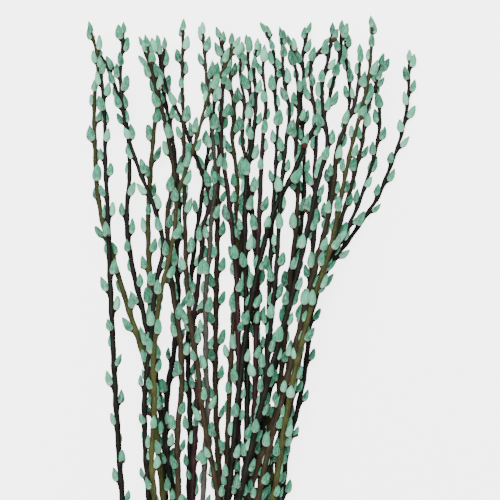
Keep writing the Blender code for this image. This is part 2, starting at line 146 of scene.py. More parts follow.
# Each stem's way from its tip down to the photograph's lower edge, in pixels
ROUTES = {
    "branch_01": (
        (91, 30), (98, 62), (95, 90), (95, 150), (98, 195), (105, 232), (115, 265), (130, 314),
        (145, 362), (152, 400), (158, 450), (163, 500),
    ),
    "branch_02": (
        (99, 52), (112, 79), (120, 103), (127, 132), (129, 170), (126, 220), (131, 263), (143, 315),
        (152, 360), (158, 400), (166, 450), (172, 500),
    ),
    "branch_03": (
        (101, 66), (105, 108), (106, 165), (109, 225), (110, 262), (113, 325), (117, 410), (123, 500),
    ),
    "branch_04": (
        (125, 33), (122, 90), (127, 128), (140, 170), (156, 210), (164, 245), (157, 285), (152, 340),
        (146, 390), (146, 440), (150, 500),
    ),
    "branch_05": (
        (141, 42), (147, 60), (157, 90), (154, 120), (150, 165), (147, 215), (148, 268), (150, 320),
        (152, 355), (158, 400), (166, 450), (174, 500),
    ),
    "branch_06": (
        (148, 45), (153, 76), (162, 108), (171, 152), (175, 182), (169, 205), (168, 240), (173, 290),
        (180, 335), (182, 385), (178, 430), (179, 500),
    ),
    "branch_07": (
        (157, 40), (162, 88), (170, 130), (174, 158), (178, 200), (177, 230), (175, 260), (177, 290),
        (173, 350), (166, 395), (164, 435), (164, 500),
    ),
    "branch_08": (
        (164, 45), (162, 60), (167, 90), (183, 122), (193, 150), (203, 176), (210, 202), (205, 220),
        (201, 255), (196, 300), (192, 335), (196, 365), (197, 400), (194, 450), (192, 500),
    ),
    "branch_09": (
        (184, 30), (183, 70), (184, 125), (185, 185), (186, 243), (188, 290), (193, 335), (198, 365),
        (203, 410), (211, 455), (219, 500),
    ),
    "branch_10": (
        (203, 32), (205, 58), (209, 105), (214, 150), (216, 180), (212, 215), (209, 260), (206, 290),
        (206, 335), (206, 365), (208, 400), (206, 440), (203, 500),
    ),
    "branch_11": (
        (219, 35), (224, 57), (222, 105), (222, 155), (227, 185), (232, 230), (236, 270), (238, 330),
        (239, 385), (238, 440), (236, 500),
    ),
    "branch_12": (
        (231, 38), (230, 78), (234, 115), (232, 130), (237, 175), (236, 240), (243, 280), (252, 315),
        (259, 350), (265, 390), (271, 455), (271, 500),
    ),
    "branch_13": (
        (236, 48), (226, 68), (209, 99), (202, 124), (191, 160), (178, 200), (176, 228), (168, 268),
        (161, 298), (158, 328), (155, 360), (156, 400), (153, 455), (156, 500),
    ),
    "branch_14": (
        (242, 48), (240, 72), (244, 98), (243, 145), (246, 160), (244, 220), (237, 280), (232, 340),
        (229, 400), (227, 450), (226, 500),
    ),
    "branch_15": (
        (247, 42), (250, 90), (250, 115), (249, 145), (247, 160), (252, 210), (256, 260), (258, 320),
        (256, 380), (252, 440), (249, 500),
    ),
    "branch_16": (
        (265, 30), (273, 50), (276, 75), (275, 100), (277, 115), (276, 160), (273, 210), (270, 270),
        (268, 330), (265, 390), (262, 450), (259, 500),
    ),
    "branch_17": (
        (281, 38), (284, 85), (289, 112), (286, 140), (283, 168), (279, 220), (276, 270), (270, 330),
        (262, 400), (250, 450), (243, 500),
    ),
    "branch_18": (
        (290, 42), (296, 68), (299, 105), (296, 150), (298, 180), (296, 230), (290, 280), (285, 340),
        (278, 400), (270, 450), (263, 500),
    ),
    "branch_19": (
        (309, 28), (303, 55), (304, 78), (302, 90), (303, 130), (305, 180), (301, 230), (294, 280),
        (282, 340), (268, 400), (255, 450), (245, 500),
    ),
    "branch_20": (
        (325, 43), (313, 60), (312, 90), (316, 115), (315, 180), (316, 215), (313, 250), (310, 290),
        (303, 340), (294, 390), (283, 440), (273, 500),
    ),
    "branch_21": (
        (331, 35), (327, 62), (321, 90), (323, 118), (326, 152), (319, 175), (311, 210), (302, 250),
        (290, 300), (276, 350), (262, 400), (250, 450), (238, 500),
    ),
    "branch_22": (
        (341, 30), (340, 52), (331, 90), (326, 110), (314, 128), (301, 156), (291, 178), (279, 200),
        (268, 230), (258, 270), (248, 320), (240, 380), (234, 440), (228, 500),
    ),
    "branch_23": (
        (346, 36), (348, 65), (351, 92), (346, 128), (339, 153), (332, 180), (328, 218), (322, 243),
        (313, 284), (303, 322), (297, 352), (290, 397), (280, 440), (268, 475), (264, 500),
    ),
    "branch_24": (
        (359, 55), (357, 88), (352, 110), (343, 130), (336, 150), (334, 175), (328, 215), (318, 255),
        (306, 300), (294, 350), (281, 400), (268, 450), (257, 500),
    ),
    "branch_25": (
        (370, 28), (369, 58), (366, 85), (360, 110), (350, 148), (344, 175), (337, 212), (328, 252),
        (312, 300), (300, 345), (290, 390), (283, 430), (278, 465), (272, 500),
    ),
    "branch_26": (
        (378, 78), (372, 95), (365, 117), (362, 143), (355, 170), (346, 203), (336, 233), (325, 262),
        (312, 295), (298, 335), (285, 380), (270, 430), (256, 470), (248, 500),
    ),
    "branch_27": (
        (381, 62), (376, 90), (380, 115), (377, 145), (369, 174), (356, 210), (340, 243), (328, 261),
        (316, 285), (304, 315), (294, 350), (288, 390), (283, 430), (280, 465), (277, 500),
    ),
    "branch_28": (
        (412, 55), (410, 103), (402, 140), (392, 167), (379, 198), (363, 222), (345, 247), (328, 271),
        (319, 293), (312, 318), (309, 348), (305, 378), (300, 405), (291, 438), (287, 458), (283, 500),
    ),
    "branch_29": (
        (257, 47), (254, 62), (256, 95), (254, 130), (247, 175), (245, 230), (246, 290), (247, 350),
        (247, 410), (246, 455), (244, 500),
    ),
    "branch_30": (
        (264, 53), (263, 70), (266, 100), (263, 135), (261, 175), (259, 225), (257, 280), (256, 340),
        (255, 400), (254, 450), (251, 500),
    ),
    "branch_31": (
        (212, 66), (213, 110), (206, 160), (199, 210), (192, 260), (188, 310), (187, 360), (189, 420),
        (188, 500),
    ),
    "branch_32": (
        (222, 60), (220, 110), (218, 160), (217, 220), (216, 280), (215, 340), (215, 400), (217, 450),
        (220, 500),
    ),
}


def linear(code: str) -> tuple[float, float, float, float]:
    """Turns an sRGB hex value into linear light.

    Args:
        code: Six hex digits after a hash sign.

    Returns:
        Red, green, blue and a full alpha.
    """
    parts = [int(code[place : place + 2], 16) / 255.0 for place in (1, 3, 5)]
    light = [part / 12.92 if part <= 0.04045 else ((part + 0.055) / 1.055) ** 2.4 for part in parts]
    return (light[0], light[1], light[2], 1.0)


def add_node(
    tree: bpy.types.NodeTree, kind: str, inputs: dict | None = None, **settings: object
) -> bpy.types.Node:
    """Adds a shader node with its settings, values and links.

    Args:
        tree: The node tree of a material or a world.
        kind: Blender's name of the node's type.
        inputs: Values or sockets for the node's inputs, by name or number.
        **settings: Properties of the node.

    Returns:
        The new node.
    """
    node = tree.nodes.new(kind)
    for name, value in settings.items():
        setattr(node, name, value)
    for key, value in (inputs or {}).items():
        if isinstance(value, bpy.types.NodeSocket):
            tree.links.new(value, node.inputs[key])
        else:
            node.inputs[key].default_value = value
    return node


def blank_material(name: str) -> tuple[bpy.types.Material, bpy.types.NodeTree, bpy.types.Node]:
    """Makes a material with nothing set on it yet.

    Args:
        name: The material's name.

    Returns:
        The material, its node tree and its principled shader.
    """
    material = bpy.data.materials.new(name)
    material.use_nodes = True
    tree = material.node_tree
    return material, tree, tree.nodes["Principled BSDF"]


class Bark(Enum):
    """The kinds of bark in the bunch."""

    DARK = "dark"
    RED = "red"
    BROWN = "brown"
    OLIVE = "olive"
    GREY = "grey"


class Layer(NamedTuple):
    """A colour laid over what is below it, from where a value starts it to where it is full."""

    value: bpy.types.NodeSocket
    start: float
    full: float
    most: float | bpy.types.NodeSocket
    colour: str


def paint(tree: bpy.types.NodeTree, ground: str, layers: list[Layer]) -> bpy.types.NodeSocket:
    """Lays colours one over the other.

    Args:
        tree: The material's node tree.
        ground: The lowest colour.
        layers: What is laid over it, from the lowest up.

    Returns:
        The colour that shows.
    """
    colour = linear(ground)
    for layer in layers:
        share = add_node(
            tree,
            "ShaderNodeMapRange",
            {"Value": layer.value, "From Min": layer.start, "From Max": layer.full, "To Max": layer.most},
        )
        mix = add_node(
            tree,
            "ShaderNodeMix",
            {"Factor": share.outputs[0], 6: colour, 7: linear(layer.colour)},
            data_type="RGBA",
        )
        colour = mix.outputs[2]
    return colour


def grain_noise(
    tree: bpy.types.NodeTree, sizes_mm: tuple[float, float, float], detail: float
) -> bpy.types.NodeSocket:
    """Noise in a piece's own grain, which is in millimetres and runs along its third axis.

    Args:
        tree: The material's node tree.
        sizes_mm: Size of its patches, twice across the grain and once along it.
        detail: How many finer layers it holds.

    Returns:
        The noise's value.
    """
    grain = add_node(tree, "ShaderNodeAttribute", attribute_name="grain")
    stretch = tuple(1.0 / size for size in sizes_mm)
    run = add_node(
        tree, "ShaderNodeVectorMath", {0: grain.outputs["Vector"], 1: stretch}, operation="MULTIPLY"
    )
    noise = add_node(tree, "ShaderNodeTexNoise", {"Vector": run.outputs[0], "Scale": 1.0, "Detail": detail})
    return noise.outputs["Fac"]


def dress_shader(
    tree: bpy.types.NodeTree,
    shader: bpy.types.Node,
    colour: bpy.types.NodeSocket,
    height: bpy.types.NodeSocket,
    relief: tuple[float, float],
) -> None:
    """Gives a shader its colour and its relief.

    Args:
        tree: The material's node tree.
        shader: Its principled shader.
        colour: The surface's colour.
        height: The surface's height, from 0 to 1.
        relief: How strongly the height shows, and its depth in millimetres.
    """
    bump = add_node(
        tree, "ShaderNodeBump", {"Height": height, "Strength": relief[0], "Distance": relief[1] * MM}
    )
    tree.links.new(colour, shader.inputs["Base Color"])
    tree.links.new(bump.outputs["Normal"], shader.inputs["Normal"])


@dataclass(frozen=True)
class WillowBark:
    """Smooth willow bark, dried as it grew on the stem."""

    # It gives the eye a dark satin stem with a long soft highlight, fine wrinkles that run along it,
    # cloudy patches of the next lighter tone, and the pale pores of young bark.
    name: str
    deep: str
    middle: str
    pale: str
    young: str
    slot: str = "bark"
    roughness: float = 0.55
    gloss: float = 0.16
    wrinkle_mm: tuple[float, float, float] = (0.55, 0.55, 9.0)
    blotch_mm: tuple[float, float, float] = (14.0, 14.0, 14.0)
    dot_mm: float = 2.6
    relief: tuple[float, float] = (0.5, 0.15)
    # Where a layer starts and where it is full
    wrinkle_band: tuple[float, float] = (0.35, 0.68)
    blotch_band: tuple[float, float] = (0.42, 0.70)
    dot_band: tuple[float, float] = (0.16, 0.096)
    dot_most: float = 0.75

    def make(self) -> bpy.types.Material:
        """Builds the bark from the stem's own grain and its age, which is 0 at the tip.

        Returns:
            The finished material.
        """
        material, tree, shader = blank_material(self.name)
        grain = add_node(tree, "ShaderNodeAttribute", attribute_name="grain")
        age = add_node(tree, "ShaderNodeAttribute", attribute_name="tone")
        wrinkle = grain_noise(tree, self.wrinkle_mm, 4.0)
        blotch = grain_noise(tree, self.blotch_mm, 3.0)
        dots = add_node(
            tree, "ShaderNodeTexVoronoi", {"Vector": grain.outputs["Vector"], "Scale": 1.0 / self.dot_mm}
        )
        layers = [
            Layer(wrinkle, *self.wrinkle_band, 1.0, self.middle),
            Layer(blotch, *self.blotch_band, 1.0, self.middle),
            Layer(age.outputs["Fac"], 1.0, 0.0, 1.0, self.young),
            Layer(dots.outputs["Distance"], *self.dot_band, self.dot_most, self.pale),
        ]
        dress_shader(tree, shader, paint(tree, self.deep, layers), wrinkle, self.relief)
        shader.inputs["Roughness"].default_value = self.roughness
        shader.inputs["Specular IOR Level"].default_value = self.gloss
        return material


@dataclass(frozen=True)
class DyedCatkin:
    """Silky hairs of young willow catkins, dyed mint green in a bath and dried."""

    # It gives the eye a matt, downy body, paler along its rim in its sheen, deeper at its tip and streaked
    # along its hairs. Its pale rounded foot is a painted highlight, and the pale streaks are partly the
    # hairs' own grain, partly a painted highlight. A real hair is about 0.02 mm thick, so the streaks and
    # the fuzz are drawn as coarse as they need to show.
    name: str = "dyed catkin silk"
    deep: str = "#175039"
    middle: str = "#42B688"
    # Palest silk: the colour of pale catkins, and of the streaks' painted highlight
    pale: str = "#A2FAD2"
    grey: str = "#82BEA4"
    # Colour of the painted highlight on the rounded foot
    foot: str = "#CFF5D2"
    tip: str = "#2C8A66"
    roughness: float = 0.88
    gloss: float = 0.25
    sheen: float = 0.55
    sheen_roughness: float = 0.38
    streak_mm: tuple[float, float, float] = (0.5, 0.5, 5.0)
    cloud_mm: tuple[float, float, float] = (4.5, 4.5, 4.5)
    fuzz_mm: tuple[float, float, float] = (0.35, 0.35, 0.35)
    relief: tuple[float, float] = (0.8, 0.25)
    # Where a layer starts, where it is full, and how full
    light_band: tuple[float, float, float] = (0.62, 1.0, 0.62)
    cloud_band: tuple[float, float, float] = (0.48, 0.78, 0.55)
    # Pale streaks along the hairs: partly their own grain, partly a painted highlight
    hair_streak_and_highlight_band: tuple[float, float, float] = (0.50, 0.70, 0.75)
    tip_band: tuple[float, float, float] = (0.72, 1.0, 0.65)
    # Painted highlight on the foot: where it starts and is full along the catkin, how ragged its edge is,
    # and its strength from the deepest to the palest tone
    foot_highlight_band: tuple[float, float] = (0.05, -0.22)
    foot_highlight_ragged: float = 0.5
    foot_highlight_strength: tuple[float, float] = (0.2, 0.95)

    def make(self) -> bpy.types.Material:
        """Builds the silk from each catkin's own grain, its place from foot to tip and its tone.

        Returns:
            The finished material.
        """
        material, tree, shader = blank_material(self.name)
        place = add_node(tree, "ShaderNodeAttribute", attribute_name="place").outputs["Fac"]
        tone = add_node(tree, "ShaderNodeAttribute", attribute_name="tone").outputs["Fac"]
        streak = grain_noise(tree, self.streak_mm, 3.0)
        cloud = grain_noise(tree, self.cloud_mm, 2.0)
        fuzz = grain_noise(tree, self.fuzz_mm, 2.0)
        # Painted highlight on the foot: a ragged band, paler towards the foot and stronger on paler catkins
        foot_highlight_place = add_node(
            tree, "ShaderNodeMath", {0: cloud, 1: -self.foot_highlight_ragged, 2: place}, operation="MULTIPLY_ADD"
        )
        foot_highlight_most = add_node(
            tree,
            "ShaderNodeMapRange",
            {"Value": tone, "To Min": self.foot_highlight_strength[0], "To Max": self.foot_highlight_strength[1]},
        )
        layers = [
            Layer(tone, 0.0, 1.0, 1.0, self.middle),
            Layer(tone, *self.light_band, self.pale),
            Layer(cloud, *self.cloud_band, self.grey),
            # Pale streaks along the hairs: partly their own grain, partly a painted highlight
            Layer(streak, *self.hair_streak_and_highlight_band, self.pale),
            # Painted highlight on the foot
            Layer(foot_highlight_place.outputs[0], *self.foot_highlight_band, foot_highlight_most.outputs[0], self.foot),
            Layer(place, *self.tip_band, self.tip),
        ]
        height = add_node(tree, "ShaderNodeMath", {0: fuzz, 1: streak}, operation="ADD")
        dress_shader(tree, shader, paint(tree, self.deep, layers), height.outputs[0], self.relief)
        shader.inputs["Roughness"].default_value = self.roughness
        shader.inputs["Specular IOR Level"].default_value = self.gloss
        shader.inputs["Sheen Weight"].default_value = self.sheen
        shader.inputs["Sheen Roughness"].default_value = self.sheen_roughness
        return material


@dataclass(frozen=True)
class PlainGrain:
    """A dry plant surface of two mixed colours: bud scale, cut wood or jute, by its numbers."""

    name: str
    deep: str
    pale: str
    roughness: float
    grain_mm: tuple[float, float, float]
    bump_mm: float
    bump_strength: float = 0.6
    contrast: tuple[float, float] = (0.35, 0.68)

    def make(self) -> bpy.types.Material:
        """Builds the surface from stretched noise in the piece's own grain, in millimetres.

        Returns:
            The finished material.
        """
        material, tree, shader = blank_material(self.name)
        noise = grain_noise(tree, self.grain_mm, 4.0)
        colour = paint(tree, self.deep, [Layer(noise, *self.contrast, 1.0, self.pale)])
        dress_shader(tree, shader, colour, noise, (self.bump_strength, self.bump_mm))
        shader.inputs["Roughness"].default_value = self.roughness
        return material


@dataclass(frozen=True)
class LightTable:
    """Opal acrylic sheet, cast matt and lit from below."""

    # It gives the eye an even white ground with no horizon, as under a cut-out photograph.
    name: str = "opal acrylic light table"
    pale: str = "#F7F7F7"
    deep: str = "#F1F2F2"
    roughness: float = 0.9
    cloud_mm: float = 6.0
    glow: float = 4.0

    def make(self) -> bpy.types.Material:
        """Builds the sheet, whose fine clouds lie in object coordinates.

        Returns:
            The finished material.
        """
        material, tree, shader = blank_material(self.name)
        spot = add_node(tree, "ShaderNodeTexCoord")
        noise = add_node(
            tree,
            "ShaderNodeTexNoise",
            {"Vector": spot.outputs["Object"], "Scale": 1.0 / (self.cloud_mm * MM), "Detail": 2.0},
        )
        colour = paint(tree, self.deep, [Layer(noise.outputs["Fac"], 0.0, 1.0, 1.0, self.pale)])
        tree.links.new(colour, shader.inputs["Base Color"])
        shader.inputs["Roughness"].default_value = self.roughness
        shader.inputs["Emission Color"].default_value = linear(self.pale)
        shader.inputs["Emission Strength"].default_value = self.glow
        return material


BARKS = {
    Bark.DARK: WillowBark("dark willow bark", "#070706", "#1D1A14", "#504B40", "#13120D"),
    Bark.RED: WillowBark("red-purple willow bark", "#170C0E", "#3D2226", "#6E5457", "#231415"),
    Bark.BROWN: WillowBark("brown willow bark", "#18140D", "#443826", "#776A50", "#251E14"),
    Bark.OLIVE: WillowBark("olive willow bark", "#22240F", "#54572B", "#7C8052", "#31311A", "olive_bark"),
    Bark.GREY: WillowBark("grey willow bark", "#2A2925", "#5C5A53", "#87857C", "#2C251D", "grey_bark"),
}
BARK_OF = {
    Bark.RED: ("branch_08", "branch_11", "branch_15", "branch_20", "branch_30"),
    Bark.BROWN: ("branch_06", "branch_09", "branch_14", "branch_18", "branch_24", "branch_26", "branch_32"),
    Bark.OLIVE: ("branch_01", "branch_05", "branch_12", "branch_13", "branch_25"),
    Bark.GREY: ("branch_10",),
}
CATKIN_SILK = DyedCatkin()
# Leathery scales that dried and sprang off the buds: brown, ribbed, with a dull gloss
BUD_SCALE = PlainGrain("dry red-brown bud scale", "#2C180F", "#5F3A22", 0.5, (0.8, 0.8, 4.0), 0.1)
# Sapwood cut with shears: pale, dry and matt, with fine pores
CUT_WOOD = PlainGrain("cut willow wood", "#C9B083", "#E6D6B0", 0.75, (0.35, 0.35, 0.35), 0.1)
# Jute fibre, spun and twisted in two plies: golden, matt and hairy
JUTE = PlainGrain("twisted jute twine", "#8A683E", "#C7A673", 0.92, (0.18, 0.18, 1.2), 0.12)


class MeshParts:
    """Points, faces and per-point values of one piece, gathered part by part."""

    def __init__(self) -> None:
        """Starts empty."""
        self.points: list[np.ndarray] = []
        self.grains: list[np.ndarray] = []
        self.places: list[np.ndarray] = []
        self.tones: list[np.ndarray] = []
        self.corners: list[np.ndarray] = []
        self.totals: list[np.ndarray] = []
        self.slots: list[np.ndarray] = []
        self.count = 0

    def add(
        self,
        points: np.ndarray,
        faces: list[np.ndarray],
        grain: np.ndarray,
        place: np.ndarray | float = 0.0,
        tone: np.ndarray | float = 0.5,
        slot: int = 0,
    ) -> None:
        """Adds one part.

        Args:
            points: Its points, one row each.
            faces: Arrays of faces, each array with one number of corners.
            grain: Each point's place in the piece's own straightened grain, in millimetres.
            place: Each point's share of the way from foot to tip.
            tone: Each point's tone.
            slot: Number of its material.
        """
        size = len(points)
        self.points.append(points)
        self.grains.append(np.broadcast_to(grain, (size, 3)))
        self.places.append(np.broadcast_to(place, size))
        self.tones.append(np.broadcast_to(tone, size))
        for group in faces:
            self.corners.append((group + self.count).ravel())
            self.totals.append(np.full(len(group), group.shape[1]))
            self.slots.append(np.full(len(group), slot))
        self.count += size

    def make(self, name: str, materials: list[bpy.types.Material]) -> bpy.types.Object:
        """Turns what was gathered into an object.

        Args:
            name: The piece's name.
            materials: Its materials, in the order of the slots.

        Returns:
            The object, linked to the scene.
        """
        points = np.concatenate(self.points)
        points[:, 2] = np.maximum(points[:, 2], LOWEST)
        corners = np.concatenate(self.corners).astype(np.int32)
        totals = np.concatenate(self.totals)
        mesh = bpy.data.meshes.new(name)
        mesh.vertices.add(len(points))
        mesh.vertices.foreach_set("co", points.astype(np.float32).ravel())
        mesh.loops.add(len(corners))
        mesh.loops.foreach_set("vertex_index", corners)
        mesh.polygons.add(len(totals))
        starts = np.concatenate([[0], np.cumsum(totals)[:-1]]).astype(np.int32)
        mesh.polygons.foreach_set("loop_start", starts)
        mesh.polygons.foreach_set("material_index", np.concatenate(self.slots).astype(np.int32))
        mesh.update(calc_edges=True)
        grain = mesh.attributes.new("grain", "FLOAT_VECTOR", "POINT")
        grain.data.foreach_set("vector", np.concatenate(self.grains).astype(np.float32).ravel())
        for label, values in (("place", self.places), ("tone", self.tones)):
            layer = mesh.attributes.new(label, "FLOAT", "POINT")
            layer.data.foreach_set("value", np.concatenate(values).astype(np.float32))
        for material in materials:
            mesh.materials.append(material)
        mesh.shade_smooth()
        thing = bpy.data.objects.new(name, mesh)
        bpy.context.scene.collection.objects.link(thing)
        return thing


def grid_faces(rings: int, sides: int, towards_tip: bool) -> np.ndarray:
    """Faces of a tube whose rings are stored one after the other.

    Args:
        rings: Number of rings.
        sides: Points in a ring.
        towards_tip: Whether the rings run in the growing direction.

    Returns:
        One row of four corners for each face, seen from outside.
    """
    ring, side = np.meshgrid(np.arange(rings - 1), np.arange(sides), indexing="ij")
    here = ring * sides + side
    beside = ring * sides + (side + 1) % sides
    faces = np.stack([here, beside, beside + sides, here + sides], axis=-1).reshape(-1, 4)
    return faces[:, ::-1] if towards_tip else faces


def end_fan(first: int, sides: int, pole: int, flip: bool) -> np.ndarray:
    """Triangles that close a ring with one middle point.

    Args:
        first: Number of the ring's first point.
        sides: How many points the ring has.
        pole: Number of the middle point.
        flip: Whether the triangles turn the other way.

    Returns:
        One row of three point numbers for each triangle.
    """
    side = np.arange(sides)
    fan = np.stack([first + side, first + (side + 1) % sides, np.full(sides, pole)], axis=1)
    return fan[:, ::-1] if flip else fan


def closed_tube(rings: int, sides: int) -> list[np.ndarray]:
    """Faces of a tube that runs towards the tip, closed by two middle points that follow its rings.

    Args:
        rings: Number of rings.
        sides: Points in a ring.

    Returns:
        The wall's faces, then those of both ends.
    """
    count = rings * sides
    ends = [end_fan(0, sides, count, False), end_fan(count - sides, sides, count + 1, True)]
    return [grid_faces(rings, sides, True), np.concatenate(ends)]


def spike_faces(count: int) -> list[np.ndarray]:
    """Faces of thin closed spikes, each with three points at its root and one at its tip.

    Args:
        count: Number of spikes.

    Returns:
        Four triangles for each spike.
    """
    corners = np.array([[0, 1, 3], [1, 2, 3], [2, 0, 3], [1, 0, 2]])
    return [(4 * np.arange(count)[:, None, None] + corners).reshape(-1, 3)]


def ring_turns(sides: int) -> np.ndarray:
    """Angles of the points of a ring."""
    return 2.0 * math.pi * np.arange(sides) / sides


def around(turns: np.ndarray, first: np.ndarray, second: np.ndarray) -> np.ndarray:
    """Directions at angles, counted from a first direction towards a second one.

    Args:
        turns: The angles.
        first: The direction of angle 0, or several.
        second: The direction a quarter turn further, or several.

    Returns:
        A direction for each angle.
    """
    return np.cos(turns)[..., None] * first + np.sin(turns)[..., None] * second


def cross_frame(way: Point) -> tuple[Point, Point]:
    """The sideways and upward directions across a stem that grows one way.

    Args:
        way: Direction of growth.

    Returns:
        The sideways and the upward direction.
    """
    side = np.cross(way, UP)
    side /= np.linalg.norm(side)
    return side, np.cross(side, way)


def along(pixel_y: float | np.ndarray) -> float | np.ndarray:
    """Place along the bunch of a pixel row."""
    return (MIDDLE_Y - pixel_y) * PIXEL


def across(pixel_x: float | np.ndarray) -> float | np.ndarray:
    """Place across the bunch of a pixel column."""
    return (pixel_x - MIDDLE_X) * PIXEL


def smooth(share: float | np.ndarray) -> float | np.ndarray:
    """Soft step from 0 to 1."""
    share = np.clip(share, 0.0, 1.0)
    return share * share * (3.0 - 2.0 * share)


def beyond_tie(y: np.ndarray) -> np.ndarray:
    """Distance from the tie's upper edge towards the tips, or 0 below it."""
    return np.clip(y - along(TIE_AT) - 0.5 * TIE_WIDTH - TIE_MARGIN, 0.0, None)


def fan_share(y: np.ndarray) -> np.ndarray:
    """How far the fan has opened, from 0 at the tie to 1."""
    return 1.0 - (1.0 - np.clip(beyond_tie(y) / FAN_LENGTH, 0.0, 1.0)) ** 2


def layer_step(y: np.ndarray) -> np.ndarray:
    """Height from one layer of stems to the next, at places y along the bunch."""
    return TIE_STEP + SPRING_STEP * smooth(beyond_tie(y) / SPRING_LENGTH) + FAN_STEP * fan_share(y)


def curve_through(knots: list[float], values: list[float], places: np.ndarray) -> np.ndarray:
    """Smooth curve through values at rising knots.

    Args:
        knots: Where the values are known.
        values: The values there.
        places: Where the curve is read.

    Returns:
        The curve's values at those places.
    """
    knots = np.array(knots, float)
    values = np.array(values, float)
    spans = np.diff(knots)
    rises = np.diff(values) / spans
    inner = (spans[1:] * rises[:-1] + spans[:-1] * rises[1:]) / (spans[1:] + spans[:-1])
    slopes = np.concatenate([rises[:1], inner, rises[-1:]])
    piece = np.clip(np.searchsorted(knots, places) - 1, 0, len(spans) - 1)
    span = spans[piece]
    share = (places - knots[piece]) / span
    rest = 1.0 - share
    ends = values[piece] * (1 + 2 * share) * rest**2 + values[piece + 1] * (3 - 2 * share) * share**2
    return ends + span * share * rest * (slopes[piece] * rest - slopes[piece + 1] * share)


@dataclass
class Stem:
    """One branch's centre line from its tip to its cut end."""

    name: str
    number: int
    points: np.ndarray
    lengths: np.ndarray
    radii: np.ndarray

    def read(self, lengths: float | np.ndarray) -> np.ndarray:
        """Points of the line at lengths below the tip."""
        return np.stack([np.interp(lengths, self.lengths, self.points[:, i]) for i in range(3)], axis=-1)

    def at(self, length: float) -> tuple[Point, Point, float]:
        """The stem at one place.

        Args:
            length: The place's distance below the tip.

        Returns:
            The point, the growth direction and the radius there.
        """
        way = self.read(length - LINE_STEP) - self.read(length + LINE_STEP)
        radius = float(np.interp(length, self.lengths, self.radii))
        return self.read(length), way / np.linalg.norm(way), radius


@dataclass
class Bud:
    """One bud: where it starts, where it points, which side it is on, and its size."""

    stem: Stem
    start: Point
    axis: Point
    out: Point
    length: float
    width: float
    order: int
    below_tip: float
    angle: float

    def cross(self) -> tuple[Point, Point]:
        """Directions away from the stem and sideways, across the bud.

        Returns:
            The outward and the sideways direction.
        """
        sideways = np.cross(self.axis, self.out)
        sideways /= np.linalg.norm(sideways)
        return np.cross(sideways, self.axis), sideways

    def balls(self) -> tuple[np.ndarray, np.ndarray]:
        """Centres and radii of balls that fill the bud."""
        centres = [self.start + self.axis * self.length * place for place, _ in BUD_FORM]
        return np.array(centres), np.array([self.width * half for _, half in BUD_FORM])


class Room:
    """What the stems and the buds so far take up, so that the next bud can be turned clear of it."""

    def __init__(self, stems: list[Stem]) -> None:
        """Starts with the stems.

        Args:
            stems: Every stem of the bunch.
        """
        self.centres = np.concatenate([stem.points for stem in stems])
        self.radii = np.concatenate([stem.radii for stem in stems])
        self.owners = np.concatenate([np.full(len(stem.points), stem.number) for stem in stems])

    def is_clear(self, bud: Bud) -> bool:
        """Whether a bud lies above the surface and clear of every other branch.

        Args:
            bud: The bud to try.

        Returns:
            True where it has room.
        """
        centres, radii = bud.balls()
        if (centres[:, 2] - radii).min() < FLOOR_CLEAR:
            return False
        near = abs(self.centres[:, 1] - bud.start[1]) < 2 * BUD_LENGTH
        near &= self.owners != bud.stem.number
        gaps = np.linalg.norm(centres[:, None] - self.centres[near][None], axis=2)
        gaps -= radii[:, None] + self.radii[near][None]
        return bool(gaps.size == 0 or gaps.min() > BUD_CLEAR)

    def fill(self, bud: Bud) -> None:
        """Adds a bud.

        Args:
            bud: The bud that takes up room from now on.
        """
        centres, radii = bud.balls()
        self.centres = np.concatenate([self.centres, centres])
        self.radii = np.concatenate([self.radii, radii])
        self.owners = np.concatenate([self.owners, np.full(len(radii), bud.stem.number)])


